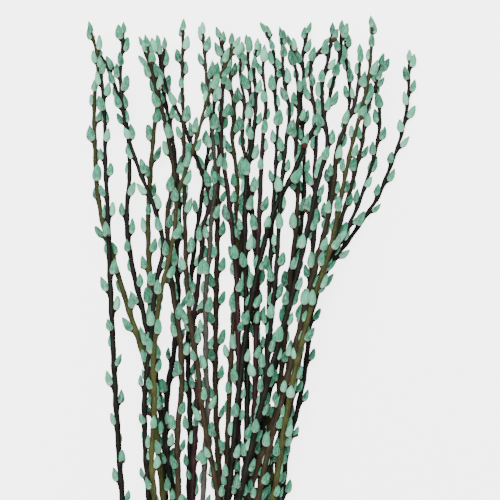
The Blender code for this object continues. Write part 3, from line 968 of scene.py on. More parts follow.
class Layout:
    """Where every stem runs and every bud sits, by the same rules as in the solids."""

    def __init__(self) -> None:
        """Grows the stems, then their buds."""
        stems = []
        for layer, row in enumerate(ROWS):
            for place, name in enumerate(row):
                stems.append(self.grow_stem(name, layer, place - 0.5 * (len(row) - 1)))
        self.stems = sorted(stems, key=lambda stem: stem.number)
        self.buds: list[Bud] = []
        room = Room(self.stems)
        for stem in self.stems:
            self.grow_buds(stem, room)

    def grow_stem(self, name: str, layer: int, slot: float) -> Stem:
        """Centre line of one branch.

        Args:
            name: The branch's node.
            layer: Its layer, from the lowest up.
            slot: Its place across the tie, in slot widths from the middle.

        Returns:
            The stem.
        """
        number = int(name[-2:])
        draw = random.Random(STEM_SEED + number)
        straight = 0.5 * TIE_WIDTH / PIXEL + TIE_SLACK
        tie_x = TIE_X + slot * SLOT_WIDTH / PIXEL
        cut_at = CUT_AT - draw.uniform(0.0, CUT_STAGGER)
        edge_x = ROUTES[name][-1][0]
        knots = [y for _, y in ROUTES[name]] + [WAIST_AT, TIE_AT - straight, TIE_AT + straight, cut_at]
        values = [x for x, _ in ROUTES[name]]
        waist_x = tie_x + (edge_x - tie_x) * WAIST_SHARE
        values += [waist_x, tie_x, tie_x, tie_x + (tie_x - TIE_X) * CUT_SPREAD]
        rows = np.linspace(knots[0], cut_at, int((cut_at - knots[0]) * PIXEL / LINE_STEP) + 1)
        y = along(rows)
        height = TIE_WALL + TIE_CLEAR + BUTT_RADIUS + layer * layer_step(y)
        sway = np.sin(2.0 * math.pi * (y / draw.uniform(*WAVE_LENGTH) + draw.random()))
        if layer > 0:
            height += WAVE * fan_share(y) * sway
        points = np.stack([across(curve_through(knots, values, rows)), y, height], axis=1)
        steps = np.linalg.norm(np.diff(points, axis=0), axis=1)
        lengths = np.concatenate([[0.0], np.cumsum(steps)])
        share = 1.0 - (1.0 - lengths / lengths[-1]) ** draw.uniform(*TAPER)
        return Stem(name, number, points, lengths, TIP_RADIUS + (BUTT_RADIUS - TIP_RADIUS) * share)

    def bud_at(self, stem: Stem, length: float, angle: float, size: tuple[float, float], order: int) -> Bud:
        """Bud on a stem.

        Args:
            stem: The stem it grows on.
            length: Its distance below the tip.
            angle: Its side, in degrees from +X upwards.
            size: Its length and width.
            order: Its number from the tip.

        Returns:
            The bud.
        """
        point, way, radius = stem.at(length)
        side, up = cross_frame(way)
        turn = math.radians(angle)
        out = math.cos(turn) * side + math.sin(turn) * up
        axis = math.cos(BUD_LEAN) * way + math.sin(BUD_LEAN) * out
        start = point + out * (radius + BUD_STAND)
        return Bud(stem, start, axis, out, size[0], size[1], order, length, turn)

    def grow_buds(self, stem: Stem, room: Room) -> None:
        """Grows one stem's buds, each turned to the first side that is clear.

        Args:
            stem: The stem.
            room: What is taken up so far.
        """
        draw = random.Random(BUD_SEED + stem.number)
        point, way, _ = stem.at(LINE_STEP)
        side, _ = cross_frame(way)
        tip_bud = Bud(stem, point, way, side, TIP_BUD[0], TIP_BUD[1], 0, LINE_STEP, 0.0)
        self.buds.append(tip_bud)
        room.fill(tip_bud)
        angle = draw.uniform(0.0, 360.0)
        length = FIRST_SPACING
        end = along(draw.uniform(*LAST_BUD))
        order = 0
        while stem.at(length)[0][1] > end:
            order += 1
            age = smooth(length / YOUNG_LENGTH)
            old = smooth((length - OLD_LENGTHS[0]) / (OLD_LENGTHS[1] - OLD_LENGTHS[0]))
            size = (YOUNG_SHARE + (1.0 - YOUNG_SHARE) * age) * (1.0 - (1.0 - OLD_SHARE) * old)
            size *= draw.uniform(1.0 - BUD_SPREAD, 1.0 + BUD_SPREAD)
            width = BUD_WIDTH * size * draw.uniform(1.0 - 0.5 * BUD_SPREAD, 1.0 + 0.5 * BUD_SPREAD)
            for other in OTHER_TURNS:
                bud = self.bud_at(stem, length, angle + other, (BUD_LENGTH * size, width), order)
                if room.is_clear(bud):
                    self.buds.append(bud)
                    room.fill(bud)
                    angle += other
                    break
            angle += BUD_TURN + draw.uniform(-TURN_SPREAD, TURN_SPREAD)
            spacing = YOUNG_SPACING + (BUD_SPACING - YOUNG_SPACING) * age
            length += spacing * draw.uniform(1.0 - SPACING_SPREAD, 1.0 + SPACING_SPREAD)

    def buds_of(self, stem: Stem) -> list[Bud]:
        """The buds that grow on one stem, from the tip down."""
        return [bud for bud in self.buds if bud.stem is stem]


@dataclass
class CatkinForm:
    """What makes one catkin differ from the next."""

    bend: float
    lean: float
    point: float
    foot: float
    fullness: float
    phase: float
    crease: float
    tone: float
    shift: np.ndarray

    @classmethod
    def pick(cls, draw: np.random.Generator, at_tip: bool) -> "CatkinForm":
        """Draws a catkin's form; one at a branch's tip bends and narrows more.

        Args:
            draw: Source of chance.
            at_tip: Whether it ends the branch.

        Returns:
            The form.
        """
        return cls(
            bend=draw.uniform(-0.08, 0.13),
            lean=draw.normal(0.0, 0.12 if at_tip else 0.075),
            point=draw.uniform(0.80, 1.4) if at_tip else draw.uniform(0.60, 1.25),
            foot=draw.uniform(0.75, 1.7),
            fullness=draw.uniform(0.84, 1.00) if at_tip else draw.uniform(0.86, 1.07),
            phase=draw.uniform(0.0, PHASE),
            crease=draw.uniform(0.0, PHASE),
            tone=float(np.clip(draw.normal(0.53, 0.25), 0.0, 1.0)),
            shift=draw.uniform(0.0, 400.0, 3),
        )


@dataclass
class Catkins:
    """The catkins of one branch: plump and rounded below, softly pointed above, close to the stem."""

    buds: list[Bud]
    seed: int
    sides: int = 12
    # Place from foot to tip, and width as a share of the widest
    profile: tuple[tuple[float, float], ...] = (
        (0.000, 0.24), (0.020, 0.46), (0.055, 0.65), (0.110, 0.82), (0.185, 0.94), (0.275, 0.99),
        (0.375, 1.00), (0.485, 0.95), (0.595, 0.85), (0.705, 0.70), (0.810, 0.51), (0.900, 0.31),
        (0.965, 0.16),
    )
    widest: float = 0.375
    tip_half: float = 0.02
    belly: float = 0.80
    bend_power: float = 2.2
    lean_power: float = 1.8
    ripple: float = 0.045
    ripples: float = 3.0
    ripple_twist: float = 5.0
    crease_depth: float = 0.13
    crease_half: float = 0.26
    uneven: float = 0.022
    foot_reach_mm: float = 0.2
    # A real catkin has thousands of hairs, about 0.02 mm thick: these are few, and as coarse as they
    # need to show
    hairs: int = 46
    hair_places: tuple[float, float] = (0.06, 0.95)
    hair_length: tuple[float, float] = (0.0005, 0.0011)
    hair_half: float = 0.00008
    hair_root_mm: float = 0.12
    hair_rise: float = math.radians(27.0)
    hair_light: float = 0.12
    parts: MeshParts = field(default_factory=MeshParts)

    def surface(self, bud: Bud, place: np.ndarray, turn: np.ndarray, form: CatkinForm) -> np.ndarray:
        """Points on a catkin.

        Args:
            bud: Where it grows and its size.
            place: Shares of the way from foot to tip.
            turn: Angles round it from its outer side.
            form: Its own form.

        Returns:
            One point for each place and turn.
        """
        outward, sideways = bud.cross()
        places, halves = zip(*self.profile)
        share = np.interp(place, places + (1.0,), halves + (self.tip_half,))
        share = share ** np.where(place > self.widest, form.point, form.foot)
        half = 0.5 * bud.width * form.fullness * share
        wave = np.sin(self.ripples * turn + form.phase + self.ripple_twist * place)
        half = half * (1.0 + self.ripple * wave)
        apart = np.angle(np.exp(1j * (turn - form.crease)))
        half = half * (1.0 - self.crease_depth * np.exp(-((apart / self.crease_half) ** 2)))
        flat = np.where(np.cos(turn) < 0.0, self.belly if bud.order else 1.0, 1.0)
        middle = bud.start + bud.length * place[..., None] * bud.axis
        middle = middle - bud.length * (form.bend * place**self.bend_power)[..., None] * outward
        middle = middle + bud.length * (form.lean * place**self.lean_power)[..., None] * sideways
        return (
            middle
            + (half * flat * np.cos(turn))[..., None] * outward
            + (half * np.sin(turn))[..., None] * sideways
        )

    def add_bud(self, bud: Bud, form: CatkinForm, draw: np.random.Generator) -> None:
        """Adds one catkin's body and its hairs.

        Args:
            bud: Where it grows and its size.
            form: Its own form.
            draw: Source of chance.
        """
        turns = ring_turns(self.sides)
        places = np.array([place for place, _ in self.profile])
        place, turn = [grid.ravel() for grid in np.meshgrid(places, turns, indexing="ij")]
        rings = self.surface(bud, place, turn, form)
        uneven = draw.normal(0.0, self.uneven, len(rings)) * 0.5 * bud.width
        rings += around(turn, *bud.cross()) * uneven[:, None]
        poles = self.surface(bud, np.array([0.0, 1.0]), np.array([0.0, 0.0]), form)
        poles[0] = bud.start - bud.axis * self.foot_reach_mm * MM
        radius = 0.5 * bud.width / MM
        spread = np.stack([radius * np.cos(turn), radius * np.sin(turn), place * bud.length / MM], axis=1)
        ends = np.array([[0.0, 0.0, 0.0], [0.0, 0.0, bud.length / MM]])
        grain = np.concatenate([spread, ends]) + form.shift
        share = np.concatenate([place, [0.0, 1.0]])
        faces = closed_tube(len(places), self.sides)
        self.parts.add(np.concatenate([rings, poles]), faces, grain, share, form.tone)
        self.add_hairs(bud, form, draw)

    def add_hairs(self, bud: Bud, form: CatkinForm, draw: np.random.Generator) -> None:
        """Adds short silky hairs that lie towards the tip, as thin closed spikes.

        Args:
            bud: The catkin's bud.
            form: Its own form.
            draw: Source of chance.
        """
        place = draw.uniform(*self.hair_places, self.hairs)
        turn = draw.uniform(0.0, 2.0 * math.pi, self.hairs)
        root = self.surface(bud, place, turn, form)
        normal = around(turn, *bud.cross())
        lie = math.cos(self.hair_rise) * bud.axis + math.sin(self.hair_rise) * normal
        tip = root + lie * draw.uniform(*self.hair_length, self.hairs)[:, None]
        beside = np.cross(lie, normal) * self.hair_half
        foot = root - self.hair_root_mm * MM * normal
        points = np.stack([foot + beside, foot - beside, root + self.hair_half * normal, tip], axis=1)
        grain = np.repeat(form.shift[None] + place[:, None] * bud.length / MM, 4, axis=0)
        tone = min(form.tone + self.hair_light, 1.0)
        self.parts.add(points.reshape(-1, 3), spike_faces(self.hairs), grain, np.repeat(place, 4), tone)

    def build(self, name: str, silk: bpy.types.Material) -> bpy.types.Object:
        """Builds and dresses every catkin of the branch.

        Args:
            name: Name of the piece.
            silk: Its finish.

        Returns:
            The piece, not yet on a body.
        """
        draw = np.random.default_rng(self.seed)
        for bud in self.buds:
            self.add_bud(bud, CatkinForm.pick(draw, bud.order == 0), draw)
        return self.parts.make(name, [silk])


@dataclass
class Wood:
    """The stem of one branch: kinks and cushions at the buds, scars, collars, scales and a cut end."""

    stem: Stem
    buds: list[Bud]
    seed: int
    sides: int = 12
    ring_step: float = 0.0028
    kink: float = 0.00055
    kink_run: float = 0.0065
    cushion_rise: float = 0.0018
    cushion_run: float = 0.0090
    cushion_back: float = 0.0022
    cushion_focus: float = 1.6
    cushion_girth: float = 0.12
    scar_rise: float = 0.0008
    scar_spacing: float = 0.023
    scar_spread: tuple[float, float] = (0.85, 1.2)
    scar_end: float = 0.035
    missing_gap: float = 1.6
    wrinkle: float = 0.00006
    wrinkle_ridges: float = 4.0
    wrinkle_twist: float = 90.0
    grain_shift_mm: float = 900.0
    age_length: float = 0.45
    bark_swell: float = 1.06
    tip_narrow: float = 0.4
    tip_reach_mm: float = 0.5
    cap_rings: tuple[float, ...] = (0.94, 0.6, 0.25)
    cap_dish_mm: float = 0.15
    pith_mm: float = 0.4
    # Rings of the collar: place along the catkin and width, as shares of its length and width
    collar_sides: int = 8
    collar: tuple[tuple[float, float], ...] = ((-0.12, 0.20), (-0.05, 0.36), (0.035, 0.53), (0.015, 0.42))
    # Dark tone of the collar: partly the old scale's own brown, partly a painted shadow line at the
    # catkin's foot
    collar_and_shadow_tone: float = 0.3
    scale_share: float = 0.09
    scale_turn: float = 1.2
    scale_reach: tuple[float, float] = (0.20, 0.40)
    scale_grid: tuple[int, int] = (7, 6)
    scale_half_turn: float = 1.15
    scale_narrow: float = 0.85
    scale_walls_mm: tuple[float, float] = (0.08, 0.42)
    dry_tip_share: float = 0.75
    dry_tips: tuple[int, int] = (1, 4)
    dry_place: tuple[float, float] = (0.002, 0.012)
    dry_length: tuple[float, float] = (0.0025, 0.0055)
    dry_bends: tuple[float, float, float] = (0.75, 0.6, 0.4)
    # Place along a dry shoot end and its radius there in millimetres
    dry_form: tuple[tuple[float, float], ...] = ((0.0, 0.55), (0.35, 0.42), (0.7, 0.5), (1.0, 0.12))
    twig_sides: int = 6
    twig_tone: float = 0.2
    parts: MeshParts = field(default_factory=MeshParts)

    def scars(self, draw: np.random.Generator) -> list[tuple[float, float]]:
        """Lengths and sides of the bare nodes below the last bud and where a bud is missing.

        Args:
            draw: Source of chance.

        Returns:
            Pairs of a length below the tip and an angle round the stem.
        """
        kept = [bud.below_tip for bud in self.buds]
        length = max(kept) + self.scar_spacing
        tie_length = float(np.interp(-along(TIE_AT), -self.stem.points[:, 1], self.stem.lengths))
        angle = self.buds[-1].angle
        found = []
        while length < tie_length - self.scar_end:
            angle += math.radians(BUD_TURN)
            found.append((length, angle))
            length += self.scar_spacing * draw.uniform(*self.scar_spread)
        for upper, lower in zip(kept[:-1], kept[1:]):
            if lower - upper > self.missing_gap * BUD_SPACING:
                found.append((0.5 * (upper + lower), draw.uniform(0.0, 2.0 * math.pi)))
        return found

    def skin(self, draw: np.random.Generator) -> None:
        """Adds the bark tube with its kinks, cushions and scars.

        Args:
            draw: Source of chance.
        """
        stem = self.stem
        lengths = np.linspace(0.0, stem.lengths[-1], int(stem.lengths[-1] / self.ring_step) + 1)
        points = stem.read(lengths)
        nodes = [(bud.below_tip, bud.angle, self.cushion_rise) for bud in self.buds if bud.order]
        nodes += [(length, angle, self.scar_rise) for length, angle in self.scars(draw)]
        ways = np.gradient(points, axis=0) * -1.0
        ways /= np.linalg.norm(ways, axis=1)[:, None]
        sides = np.cross(ways, UP)
        sides /= np.linalg.norm(sides, axis=1)[:, None]
        ups = np.cross(sides, ways)
        radii = np.interp(lengths, stem.lengths, stem.radii) * self.bark_swell
        turns = ring_turns(self.sides)
        rim = np.repeat(radii[:, None], self.sides, axis=1)
        for length, angle, rise in nodes:
            near = np.exp(-(((lengths - length) / self.kink_run) ** 2))
            bend = self.kink * rise / self.cushion_rise * near
            points -= bend[:, None] * (math.cos(angle) * sides + math.sin(angle) * ups)
            below = np.clip((lengths - length) / self.cushion_run, 0.0, 1.0)
            above = np.clip((length - lengths) / self.cushion_back, 0.0, 1.0)
            swell = (1.0 - smooth(below)) * (1.0 - smooth(above))
            facing = np.clip(np.cos(turns - angle), 0.0, 1.0) ** self.cushion_focus
            rim += rise * swell[:, None] * facing[None]
            rim += self.cushion_girth * rise * swell[:, None]
        phase = draw.uniform(0.0, PHASE)
        twist = self.wrinkle_twist * lengths[:, None]
        rim += self.wrinkle * np.sin(self.wrinkle_ridges * turns[None] + phase + twist)
        rim[0] *= self.tip_narrow
        ring = points[:, None] + rim[..., None] * around(turns, sides[:, None], ups[:, None])
        run = np.repeat(lengths[:, None], self.sides, axis=1)
        grain = np.stack([rim * np.cos(turns), rim * np.sin(turns), run], axis=-1) / MM
        grain = grain.reshape(-1, 3) + draw.uniform(0.0, self.grain_shift_mm, 3)
        age = np.repeat(smooth(lengths / self.age_length), self.sides)
        rings = ring.reshape(-1, 3)
        faces = [grid_faces(len(lengths), self.sides, False), end_fan(0, self.sides, len(rings), True)]
        tube = np.concatenate([rings, points[:1] + ways[:1] * self.tip_reach_mm * MM])
        self.parts.add(tube, faces, np.concatenate([grain, grain[:1]]), 0.0, np.append(age, 0.0))
        self.add_cut(points[-1], ways[-1], ring[-1])

    def add_cut(self, middle: Point, way: Point, rim: np.ndarray) -> None:
        """Closes the butt with a cut face of pale wood round a sunken pith.

        Args:
            middle: Centre of the last ring.
            way: Direction of growth there.
            rim: The last ring's points.
        """
        rings = [rim]
        for share in self.cap_rings:
            dish = way * self.cap_dish_mm * MM * (1.0 - abs(2.0 * share - 1.0))
            rings.append(middle + (rim - middle) * share - dish)
        points = np.concatenate(rings + [middle[None] + way * self.pith_mm * MM])
        count = self.sides * len(rings)
        faces = [
            grid_faces(len(rings), self.sides, False),
            end_fan(count - self.sides, self.sides, count, False),
        ]
        self.parts.add(points, faces, points / MM, 0.0, 1.0, 1)

    def add_collar_and_shadow_line(self, bud: Bud) -> None:
        """Adds the thin dark rim of the old bud scale in which a catkin sits; its dark is partly the
        scale's own, partly a painted shadow line at the catkin's foot.

        Args:
            bud: The catkin's bud.
        """
        spread = around(ring_turns(self.collar_sides), *bud.cross())
        rings = []
        for place, half in self.collar:
            rings.append(bud.start + bud.axis * bud.length * place + 0.5 * bud.width * half * spread)
        points = np.concatenate(rings + [rings[0].mean(axis=0)[None], rings[-1].mean(axis=0)[None]])
        faces = closed_tube(len(rings), self.collar_sides)
        self.parts.add(points, faces, points / MM, 0.0, self.collar_and_shadow_tone)

    def add_scale(self, bud: Bud, draw: np.random.Generator) -> None:
        """Adds a bud scale that still clasps the catkin's foot.

        Args:
            bud: The catkin's bud.
            draw: Source of chance.
        """
        form = replace(CatkinForm.pick(draw, False), bend=0.04, lean=0.0, fullness=1.02, point=1.0)
        centre = draw.uniform(-self.scale_turn, self.scale_turn)
        reach = draw.uniform(*self.scale_reach)
        columns, rows = self.scale_grid
        side_turns = centre + np.linspace(-self.scale_half_turn, self.scale_half_turn, columns)
        turn, place = np.meshgrid(side_turns, np.linspace(0.0, 1.0, rows), indexing="ij")
        narrow = 1.0 - self.scale_narrow * place**2
        turn = (centre + (turn - centre) * narrow).ravel()
        skin = Catkins([], 0).surface(bud, (place * reach).ravel(), turn, form)
        normal = around(turn, *bud.cross())
        inner, outer = [skin + normal * wall * MM for wall in self.scale_walls_mm]
        sheet = np.arange(columns * rows).reshape(columns, rows)
        corners = [sheet[:-1, :-1], sheet[1:, :-1], sheet[1:, 1:], sheet[:-1, 1:]]
        quads = np.stack(corners, axis=-1).reshape(-1, 4)
        edge = np.concatenate([sheet[:, 0], sheet[-1, 1:], sheet[-2::-1, -1], sheet[0, -2:0:-1]])
        following = np.roll(edge, -1)
        size = columns * rows
        wall = np.stack([edge, edge + size, following + size, following], axis=1)
        points = np.concatenate([inner, outer])
        self.parts.add(points, [quads[:, ::-1], quads + size, wall], points / MM, 0.0, 0.5, 2)

    def add_dry_tip(self, draw: np.random.Generator) -> None:
        """Adds the small shrivelled ends of shoots beside the last catkin.

        Args:
            draw: Source of chance.
        """
        shares, halves = np.array(self.dry_form).T
        outwards, onwards, upwards = self.dry_bends
        for _ in range(int(draw.integers(*self.dry_tips))):
            point, way, _ = self.stem.at(float(draw.uniform(*self.dry_place)))
            side, up = cross_frame(way)
            turn = draw.uniform(0.0, 2.0 * math.pi)
            out = math.cos(turn) * side + math.sin(turn) * up
            length = draw.uniform(*self.dry_length)
            bent = out * outwards + way * onwards
            line = point + shares[:, None] * length * bent + (shares**2)[:, None] * upwards * length * way
            self.add_twig(line, halves * MM)

    def add_twig(self, line: np.ndarray, halves: np.ndarray) -> None:
        """Adds a small closed twig along a few points.

        Args:
            line: Points along its middle.
            halves: Its radius at each.
        """
        turns = ring_turns(self.twig_sides)
        rings = []
        for index, (middle, half) in enumerate(zip(line, halves)):
            way = line[min(index + 1, len(line) - 1)] - line[max(index - 1, 0)]
            rings.append(middle + half * around(turns, *cross_frame(way / np.linalg.norm(way))))
        points = np.concatenate(rings + [line[:1], line[-1:]])
        faces = closed_tube(len(line), self.twig_sides)
        self.parts.add(points, faces, points / MM, 0.0, self.twig_tone)

    def build(self, name: str, materials: list[bpy.types.Material]) -> bpy.types.Object:
        """Builds and dresses the branch's wood.

        Args:
            name: Name of the piece.
            materials: Bark, cut wood and bud scale, in that order.

        Returns:
            The piece, not yet on a body.
        """
        draw = np.random.default_rng(self.seed)
        self.skin(draw)
        for bud in self.buds:
            # Each catkin sits in a dark collar, partly a painted shadow line
            self.add_collar_and_shadow_line(bud)
            if bud.order and draw.random() < self.scale_share:
                self.add_scale(bud, draw)
        if draw.random() < self.dry_tip_share:
            self.add_dry_tip(draw)
        return self.parts.make(name, materials)


@dataclass
class Branch:
    """One whole branch: its wood and its catkins, which stand for its node."""

    stem: Stem
    buds: list[Bud]

    def bark(self) -> Bark:
        """The kind of bark that this branch has.

        Returns:
            Its kind; most branches are dark.
        """
        for bark, names in BARK_OF.items():
            if self.stem.name in names:
                return bark
        return Bark.DARK

    def build(self, finishes: dict[str, bpy.types.Material]) -> list[bpy.types.Object]:
        """Builds both pieces and ties them to the frame.

        Args:
            finishes: The materials by name.

        Returns:
            The two pieces.
        """
        name = self.stem.name
        bark = self.bark()
        number = self.stem.number
        wood = Wood(self.stem, self.buds, WOOD_SEED + number).build(
            f"{name}_wood", [finishes[bark.name], finishes["cut"], finishes["scale"]]
        )
        catkins = Catkins(self.buds, CATKIN_SEED + number).build(f"{name}_catkins", finishes["silk"])
        for piece in (wood, catkins):
            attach(piece, "root")
            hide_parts(name)
        return [wood, catkins]


@dataclass
class Tie:
    """Jute twine wound round the stems, with a knot and two loose ends on top."""

    turns: int = 6
    twine: float = 0.0021
    ply: float = 0.00062
    ply_offset: float = 0.00046
    lay: float = 0.0065
    ply_sides: int = 7
    point_step: float = 0.0009
    corner_steps: int = 7
    ply_lumps: float = 0.10
    lump_turns: float = 31.0
    knot_size: float = 0.00115
    knot_points: int = 90
    knot_shape: tuple[float, float] = (0.9, 0.62)
    knot_lift: float = 0.0004
    tail_length: float = 0.030
    tail_spread: float = 0.0075
    tail_points: int = 42
    tail_wave: float = 0.0009
    tail_waves: float = 9.0
    tail_lift: float = 0.0002
    tail_drop: float = 0.0012
    tail_settle: float = 1.6
    # Real jute fibres are about 0.03 mm thick, and these are drawn as coarse as they need to show
    fuzz: int = 260
    tail_fuzz: int = 24
    fuzz_stand: tuple[float, float] = (0.2, 0.8)
    fuzz_stray: float = 0.25
    fuzz_mm: tuple[float, float] = (0.8, 2.4)
    fuzz_root_mm: float = 0.75
    fuzz_halves_mm: tuple[float, float] = (0.05, 0.09)
    parts: MeshParts = field(default_factory=MeshParts)

    def outline(self, clear: float) -> np.ndarray:
        """Loop round the stems at the tie.

        Args:
            clear: How far outside the stems' centres it runs.

        Returns:
            Its corners, as distances across the tie and heights.
        """
        lowest = TIE_WALL + TIE_CLEAR + BUTT_RADIUS
        halves = [0.5 * (len(row) - 1) * SLOT_WIDTH for row in ROWS]
        widest = halves.index(max(halves))
        posts = [(halves[layer], lowest + TIE_STEP * layer) for layer in (0, widest, len(ROWS) - 1)]
        posts += [(-x, z) for x, z in reversed(posts)]
        corners = []
        for index, (x, z) in enumerate(posts):
            before = posts[index - 1]
            after = posts[(index + 1) % len(posts)]
            start = math.atan2(before[0] - x, z - before[1])
            sweep = (math.atan2(x - after[0], after[1] - z) - start) % (2.0 * math.pi)
            for step in range(self.corner_steps + 1):
                turn = start + sweep * step / self.corner_steps
                corners.append((x + clear * math.cos(turn), z + clear * math.sin(turn)))
        return np.array(corners)

    def winding(self) -> np.ndarray:
        """Centre line of the wound twine, turn beside turn.

        Returns:
            One point in each row.
        """
        loop = self.outline(BUTT_RADIUS + TIE_CLEAR + 0.5 * self.twine)
        closed = np.concatenate([loop, loop[:1]])
        steps = np.linalg.norm(np.diff(closed, axis=0), axis=1)
        travel = np.concatenate([[0.0], np.cumsum(steps)])
        whole = np.arange(0.0, self.turns * travel[-1], self.point_step)
        place = (whole + 0.5 * travel[-1]) % travel[-1]
        x = np.interp(place, travel, closed[:, 0])
        z = np.interp(place, travel, closed[:, 1])
        share = whole / whole[-1]
        reach = TIE_WIDTH - self.twine
        y = along(TIE_AT) - 0.5 * reach + reach * share
        return np.stack([across(TIE_X) + x, y, z], axis=1)

    def top(self) -> float:
        """Height of the winding's upper side."""
        return 2.0 * (TIE_CLEAR + BUTT_RADIUS) + TIE_WALL + TIE_STEP * (len(ROWS) - 1) + self.twine

    def knot(self) -> np.ndarray:
        """Centre line of the knot, on top of the winding.

        Returns:
            One point in each row.
        """
        turn = np.linspace(0.0, 2.0 * math.pi, self.knot_points)
        narrow, weave = self.knot_shape
        x = (np.sin(turn) + 2.0 * np.sin(2.0 * turn)) * self.knot_size
        y = (np.cos(turn) - 2.0 * np.cos(2.0 * turn)) * self.knot_size * narrow
        z = self.top() + self.knot_lift - np.sin(3.0 * turn) * self.knot_size * weave
        return np.stack([across(TIE_X) + x, along(TIE_AT) + y, z], axis=1)

    def loose_end(self, side: float) -> np.ndarray:
        """Centre line of one loose end, from the knot towards the cut ends.

        Args:
            side: -1 for the left end or 1 for the right one.

        Returns:
            One point in each row.
        """
        share = np.linspace(0.0, 1.0, self.tail_points)
        wave = self.tail_wave * np.sin(self.tail_waves * share)
        x = across(TIE_X) + side * (self.tail_spread * smooth(share) + wave)
        z = self.top() + self.tail_lift - self.tail_drop * smooth(share * self.tail_settle)
        return np.stack([x, along(TIE_AT) - self.tail_length * share, z], axis=1)

    def add_twine(self, line: np.ndarray, phase: float) -> None:
        """Adds two plies twisted round a centre line.

        Args:
            line: The centre line's points.
            phase: Turn of the plies at its start.
        """
        way = np.gradient(line, axis=0)
        way /= np.linalg.norm(way, axis=1)[:, None]
        rough = np.where(np.abs(way[:, 1:2]) < 0.7, np.array([[0.0, 1.0, 0.0]]), UP[None])
        side = np.cross(way, rough)
        side /= np.linalg.norm(side, axis=1)[:, None]
        up = np.cross(side, way)
        travel = np.concatenate([[0.0], np.cumsum(np.linalg.norm(np.diff(line, axis=0), axis=1))])
        turns = ring_turns(self.ply_sides)
        spread = around(turns, side[:, None], up[:, None])
        for ply in (0.0, math.pi):
            twist = phase + ply + 2.0 * math.pi * travel / self.lay
            middle = line + self.ply_offset * around(twist, side, up)
            swell = self.ply * (1.0 + self.ply_lumps * np.sin(self.lump_turns * twist + ply))
            rings = (middle[:, None] + swell[:, None, None] * spread).reshape(-1, 3)
            points = np.concatenate([rings, middle[:1], middle[-1:]])
            fibre = np.tile(around(turns, np.array((0.6, 0.0)), np.array((0.0, 0.6))), (len(line), 1))
            grain = np.column_stack([fibre + (0.0, ply), np.repeat(travel, self.ply_sides) / MM])
            grain = np.concatenate([grain, grain[:1], grain[-1:]])
            self.parts.add(points, closed_tube(len(line), self.ply_sides), grain)

    def add_fuzz(self, line: np.ndarray, draw: np.random.Generator, count: int) -> None:
        """Adds loose fibres that stand off the twine, as thin closed spikes.

        Args:
            line: The twine's centre line.
            draw: Source of chance.
            count: How many fibres.
        """
        pick = draw.integers(2, len(line) - 2, count)
        centre = np.array((across(TIE_X), 0.0, 0.5 * (line[:, 2].min() + line[:, 2].max())))
        away = (line[pick] - centre) * np.array((1.0, 0.0, 1.0))
        away /= np.linalg.norm(away, axis=1)[:, None]
        way = line[pick + 1] - line[pick - 1]
        way /= np.linalg.norm(way, axis=1)[:, None]
        stand = away * draw.uniform(*self.fuzz_stand, (count, 1))
        lengthwise = way * draw.choice((-1.0, 1.0), (count, 1))
        lie = stand + lengthwise
        lie += draw.normal(0.0, self.fuzz_stray, (count, 3))
        root = line[pick] + away * self.fuzz_root_mm * MM
        tip = root + lie * draw.uniform(*self.fuzz_mm, (count, 1)) * MM
        half, rise = self.fuzz_halves_mm
        beside = np.cross(lie, away)
        beside *= half * MM / np.linalg.norm(beside, axis=1)[:, None]
        points = np.stack([root + beside, root - beside, root + away * rise * MM, tip], axis=1)
        points = points.reshape(-1, 3)
        self.parts.add(points, spike_faces(count), points / MM)

    def build(self, jute: bpy.types.Material) -> bpy.types.Object:
        """Builds and dresses the tie.

        Args:
            jute: Its finish.

        Returns:
            The piece, not yet on a body.
        """
        draw = np.random.default_rng(TIE_SEED)
        winding = self.winding()
        self.add_twine(winding, 0.0)
        self.add_twine(self.knot(), 1.0)
        for side in (-1.0, 1.0):
            self.add_twine(self.loose_end(side), side)
            self.add_fuzz(self.loose_end(side), draw, self.tail_fuzz)
        self.add_fuzz(winding, draw, self.fuzz)
        tie = self.parts.make("tie_twine", [jute])
        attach(tie, "root")
        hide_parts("tie")
        return tie


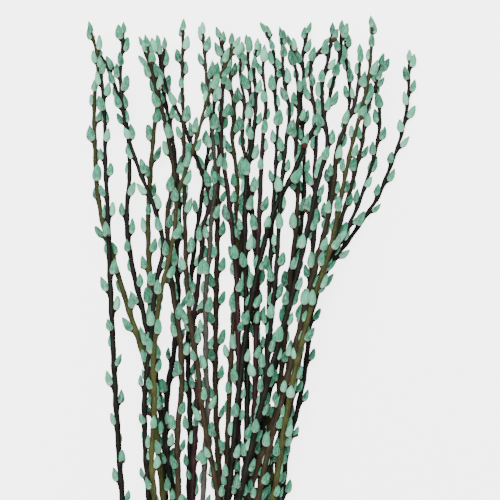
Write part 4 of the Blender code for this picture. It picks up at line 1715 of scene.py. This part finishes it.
@dataclass
class Studio:
    """White light table, soft light from a large overhead panel and the sky, and the camera above."""

    floor_size: float = 60.0
    camera_height: float = 2.4
    view_width: float = 0.5
    view_end: float = 100.0
    aim_height: float = 0.045
    sensor: float = 36.0
    lit_place: tuple[float, float, float] = (0.0, 0.15, 0.0)
    panel_place: tuple[float, float, float] = (-0.45, 0.9, 2.6)
    panel_size: float = 1.7
    panel_power: float = 103.0
    side_place: tuple[float, float, float] = (2.2, -0.6, 1.4)
    side_size: float = 1.6
    side_power: float = 8.0
    fills: int = 4
    fill_away: float = 2.2
    fill_height: float = 0.45
    fill_size: float = 1.2
    fill_power: float = 10.0
    sky: str = "#FFFFFF"
    sky_strength: float = 0.32

    def build_floor(self) -> bpy.types.Object:
        """Builds the light table that the bunch lies on, and keeps its glow off the bunch.

        Returns:
            The floor object.
        """
        half = 0.5 * self.floor_size
        mesh = bpy.data.meshes.new("light_table")
        corners = [(-half, -half, 0.0), (half, -half, 0.0), (half, half, 0.0), (-half, half, 0.0)]
        mesh.from_pydata(corners, [], [(0, 1, 2, 3)])
        mesh.materials.append(LightTable().make())
        floor = bpy.data.objects.new("light_table", mesh)
        floor.visible_diffuse = False
        floor.visible_glossy = False
        bpy.context.scene.collection.objects.link(floor)
        return floor

    def add_panel(self, name: str, place: tuple[float, float, float], size: float, power: float) -> None:
        """Adds one square light panel that faces the bunch.

        Args:
            name: Its name.
            place: Where it hangs.
            size: Its width.
            power: Its power in watts.
        """
        light = bpy.data.lights.new(name, "AREA")
        light.size = size
        light.energy = power
        panel = bpy.data.objects.new(name, light)
        panel.location = place
        towards = Vector(self.lit_place) - panel.location
        panel.rotation_euler = towards.to_track_quat("-Z", "Y").to_euler()
        panel.visible_camera = False
        bpy.context.scene.collection.objects.link(panel)

    def build_camera(self) -> None:
        """The camera straight above, with the photograph's frame."""
        lens = bpy.data.cameras.new("camera")
        lens.sensor_width = self.sensor
        lens.lens = self.sensor * self.camera_height / self.view_width
        lens.clip_end = self.view_end
        camera = bpy.data.objects.new("camera", lens)
        height = self.aim_height + self.camera_height
        camera.location = (across(PHOTO_MIDDLE), along(PHOTO_MIDDLE), height)
        bpy.context.scene.collection.objects.link(camera)
        bpy.context.scene.camera = camera

    def build_sky(self) -> None:
        """Even white light from all round."""
        world = bpy.data.worlds.new("sky")
        world.use_nodes = True
        background = world.node_tree.nodes["Background"]
        background.inputs["Color"].default_value = linear(self.sky)
        background.inputs["Strength"].default_value = self.sky_strength
        bpy.context.scene.world = world

    def build(self) -> None:
        """Builds the stage, the lights and the camera."""
        self.build_floor()
        self.add_panel("overhead panel", self.panel_place, self.panel_size, self.panel_power)
        self.add_panel("side panel", self.side_place, self.side_size, self.side_power)
        for number, turn in enumerate(ring_turns(self.fills), start=1):
            place = (self.fill_away * math.cos(turn), self.fill_away * math.sin(turn), self.fill_height)
            self.add_panel(f"fill panel {number}", place, self.fill_size, self.fill_power)
        self.build_sky()
        self.build_camera()


def main() -> None:
    """Builds the bunch and its stage, and reports each piece."""
    logging.basicConfig(level=logging.INFO, format="%(message)s")
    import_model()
    Studio().build()
    finishes = {bark.name: finish.make() for bark, finish in BARKS.items()}
    finishes.update(silk=CATKIN_SILK.make(), scale=BUD_SCALE.make(), cut=CUT_WOOD.make())
    layout = Layout()
    for stem in layout.stems:
        for piece in Branch(stem, layout.buds_of(stem)).build(finishes):
            LOG.info("%s: %d faces", piece.name, len(piece.data.polygons))
    tie = Tie().build(JUTE.make())
    LOG.info("%s: %d faces", tie.name, len(tie.data.polygons))


if __name__ == "__main__":
    main()
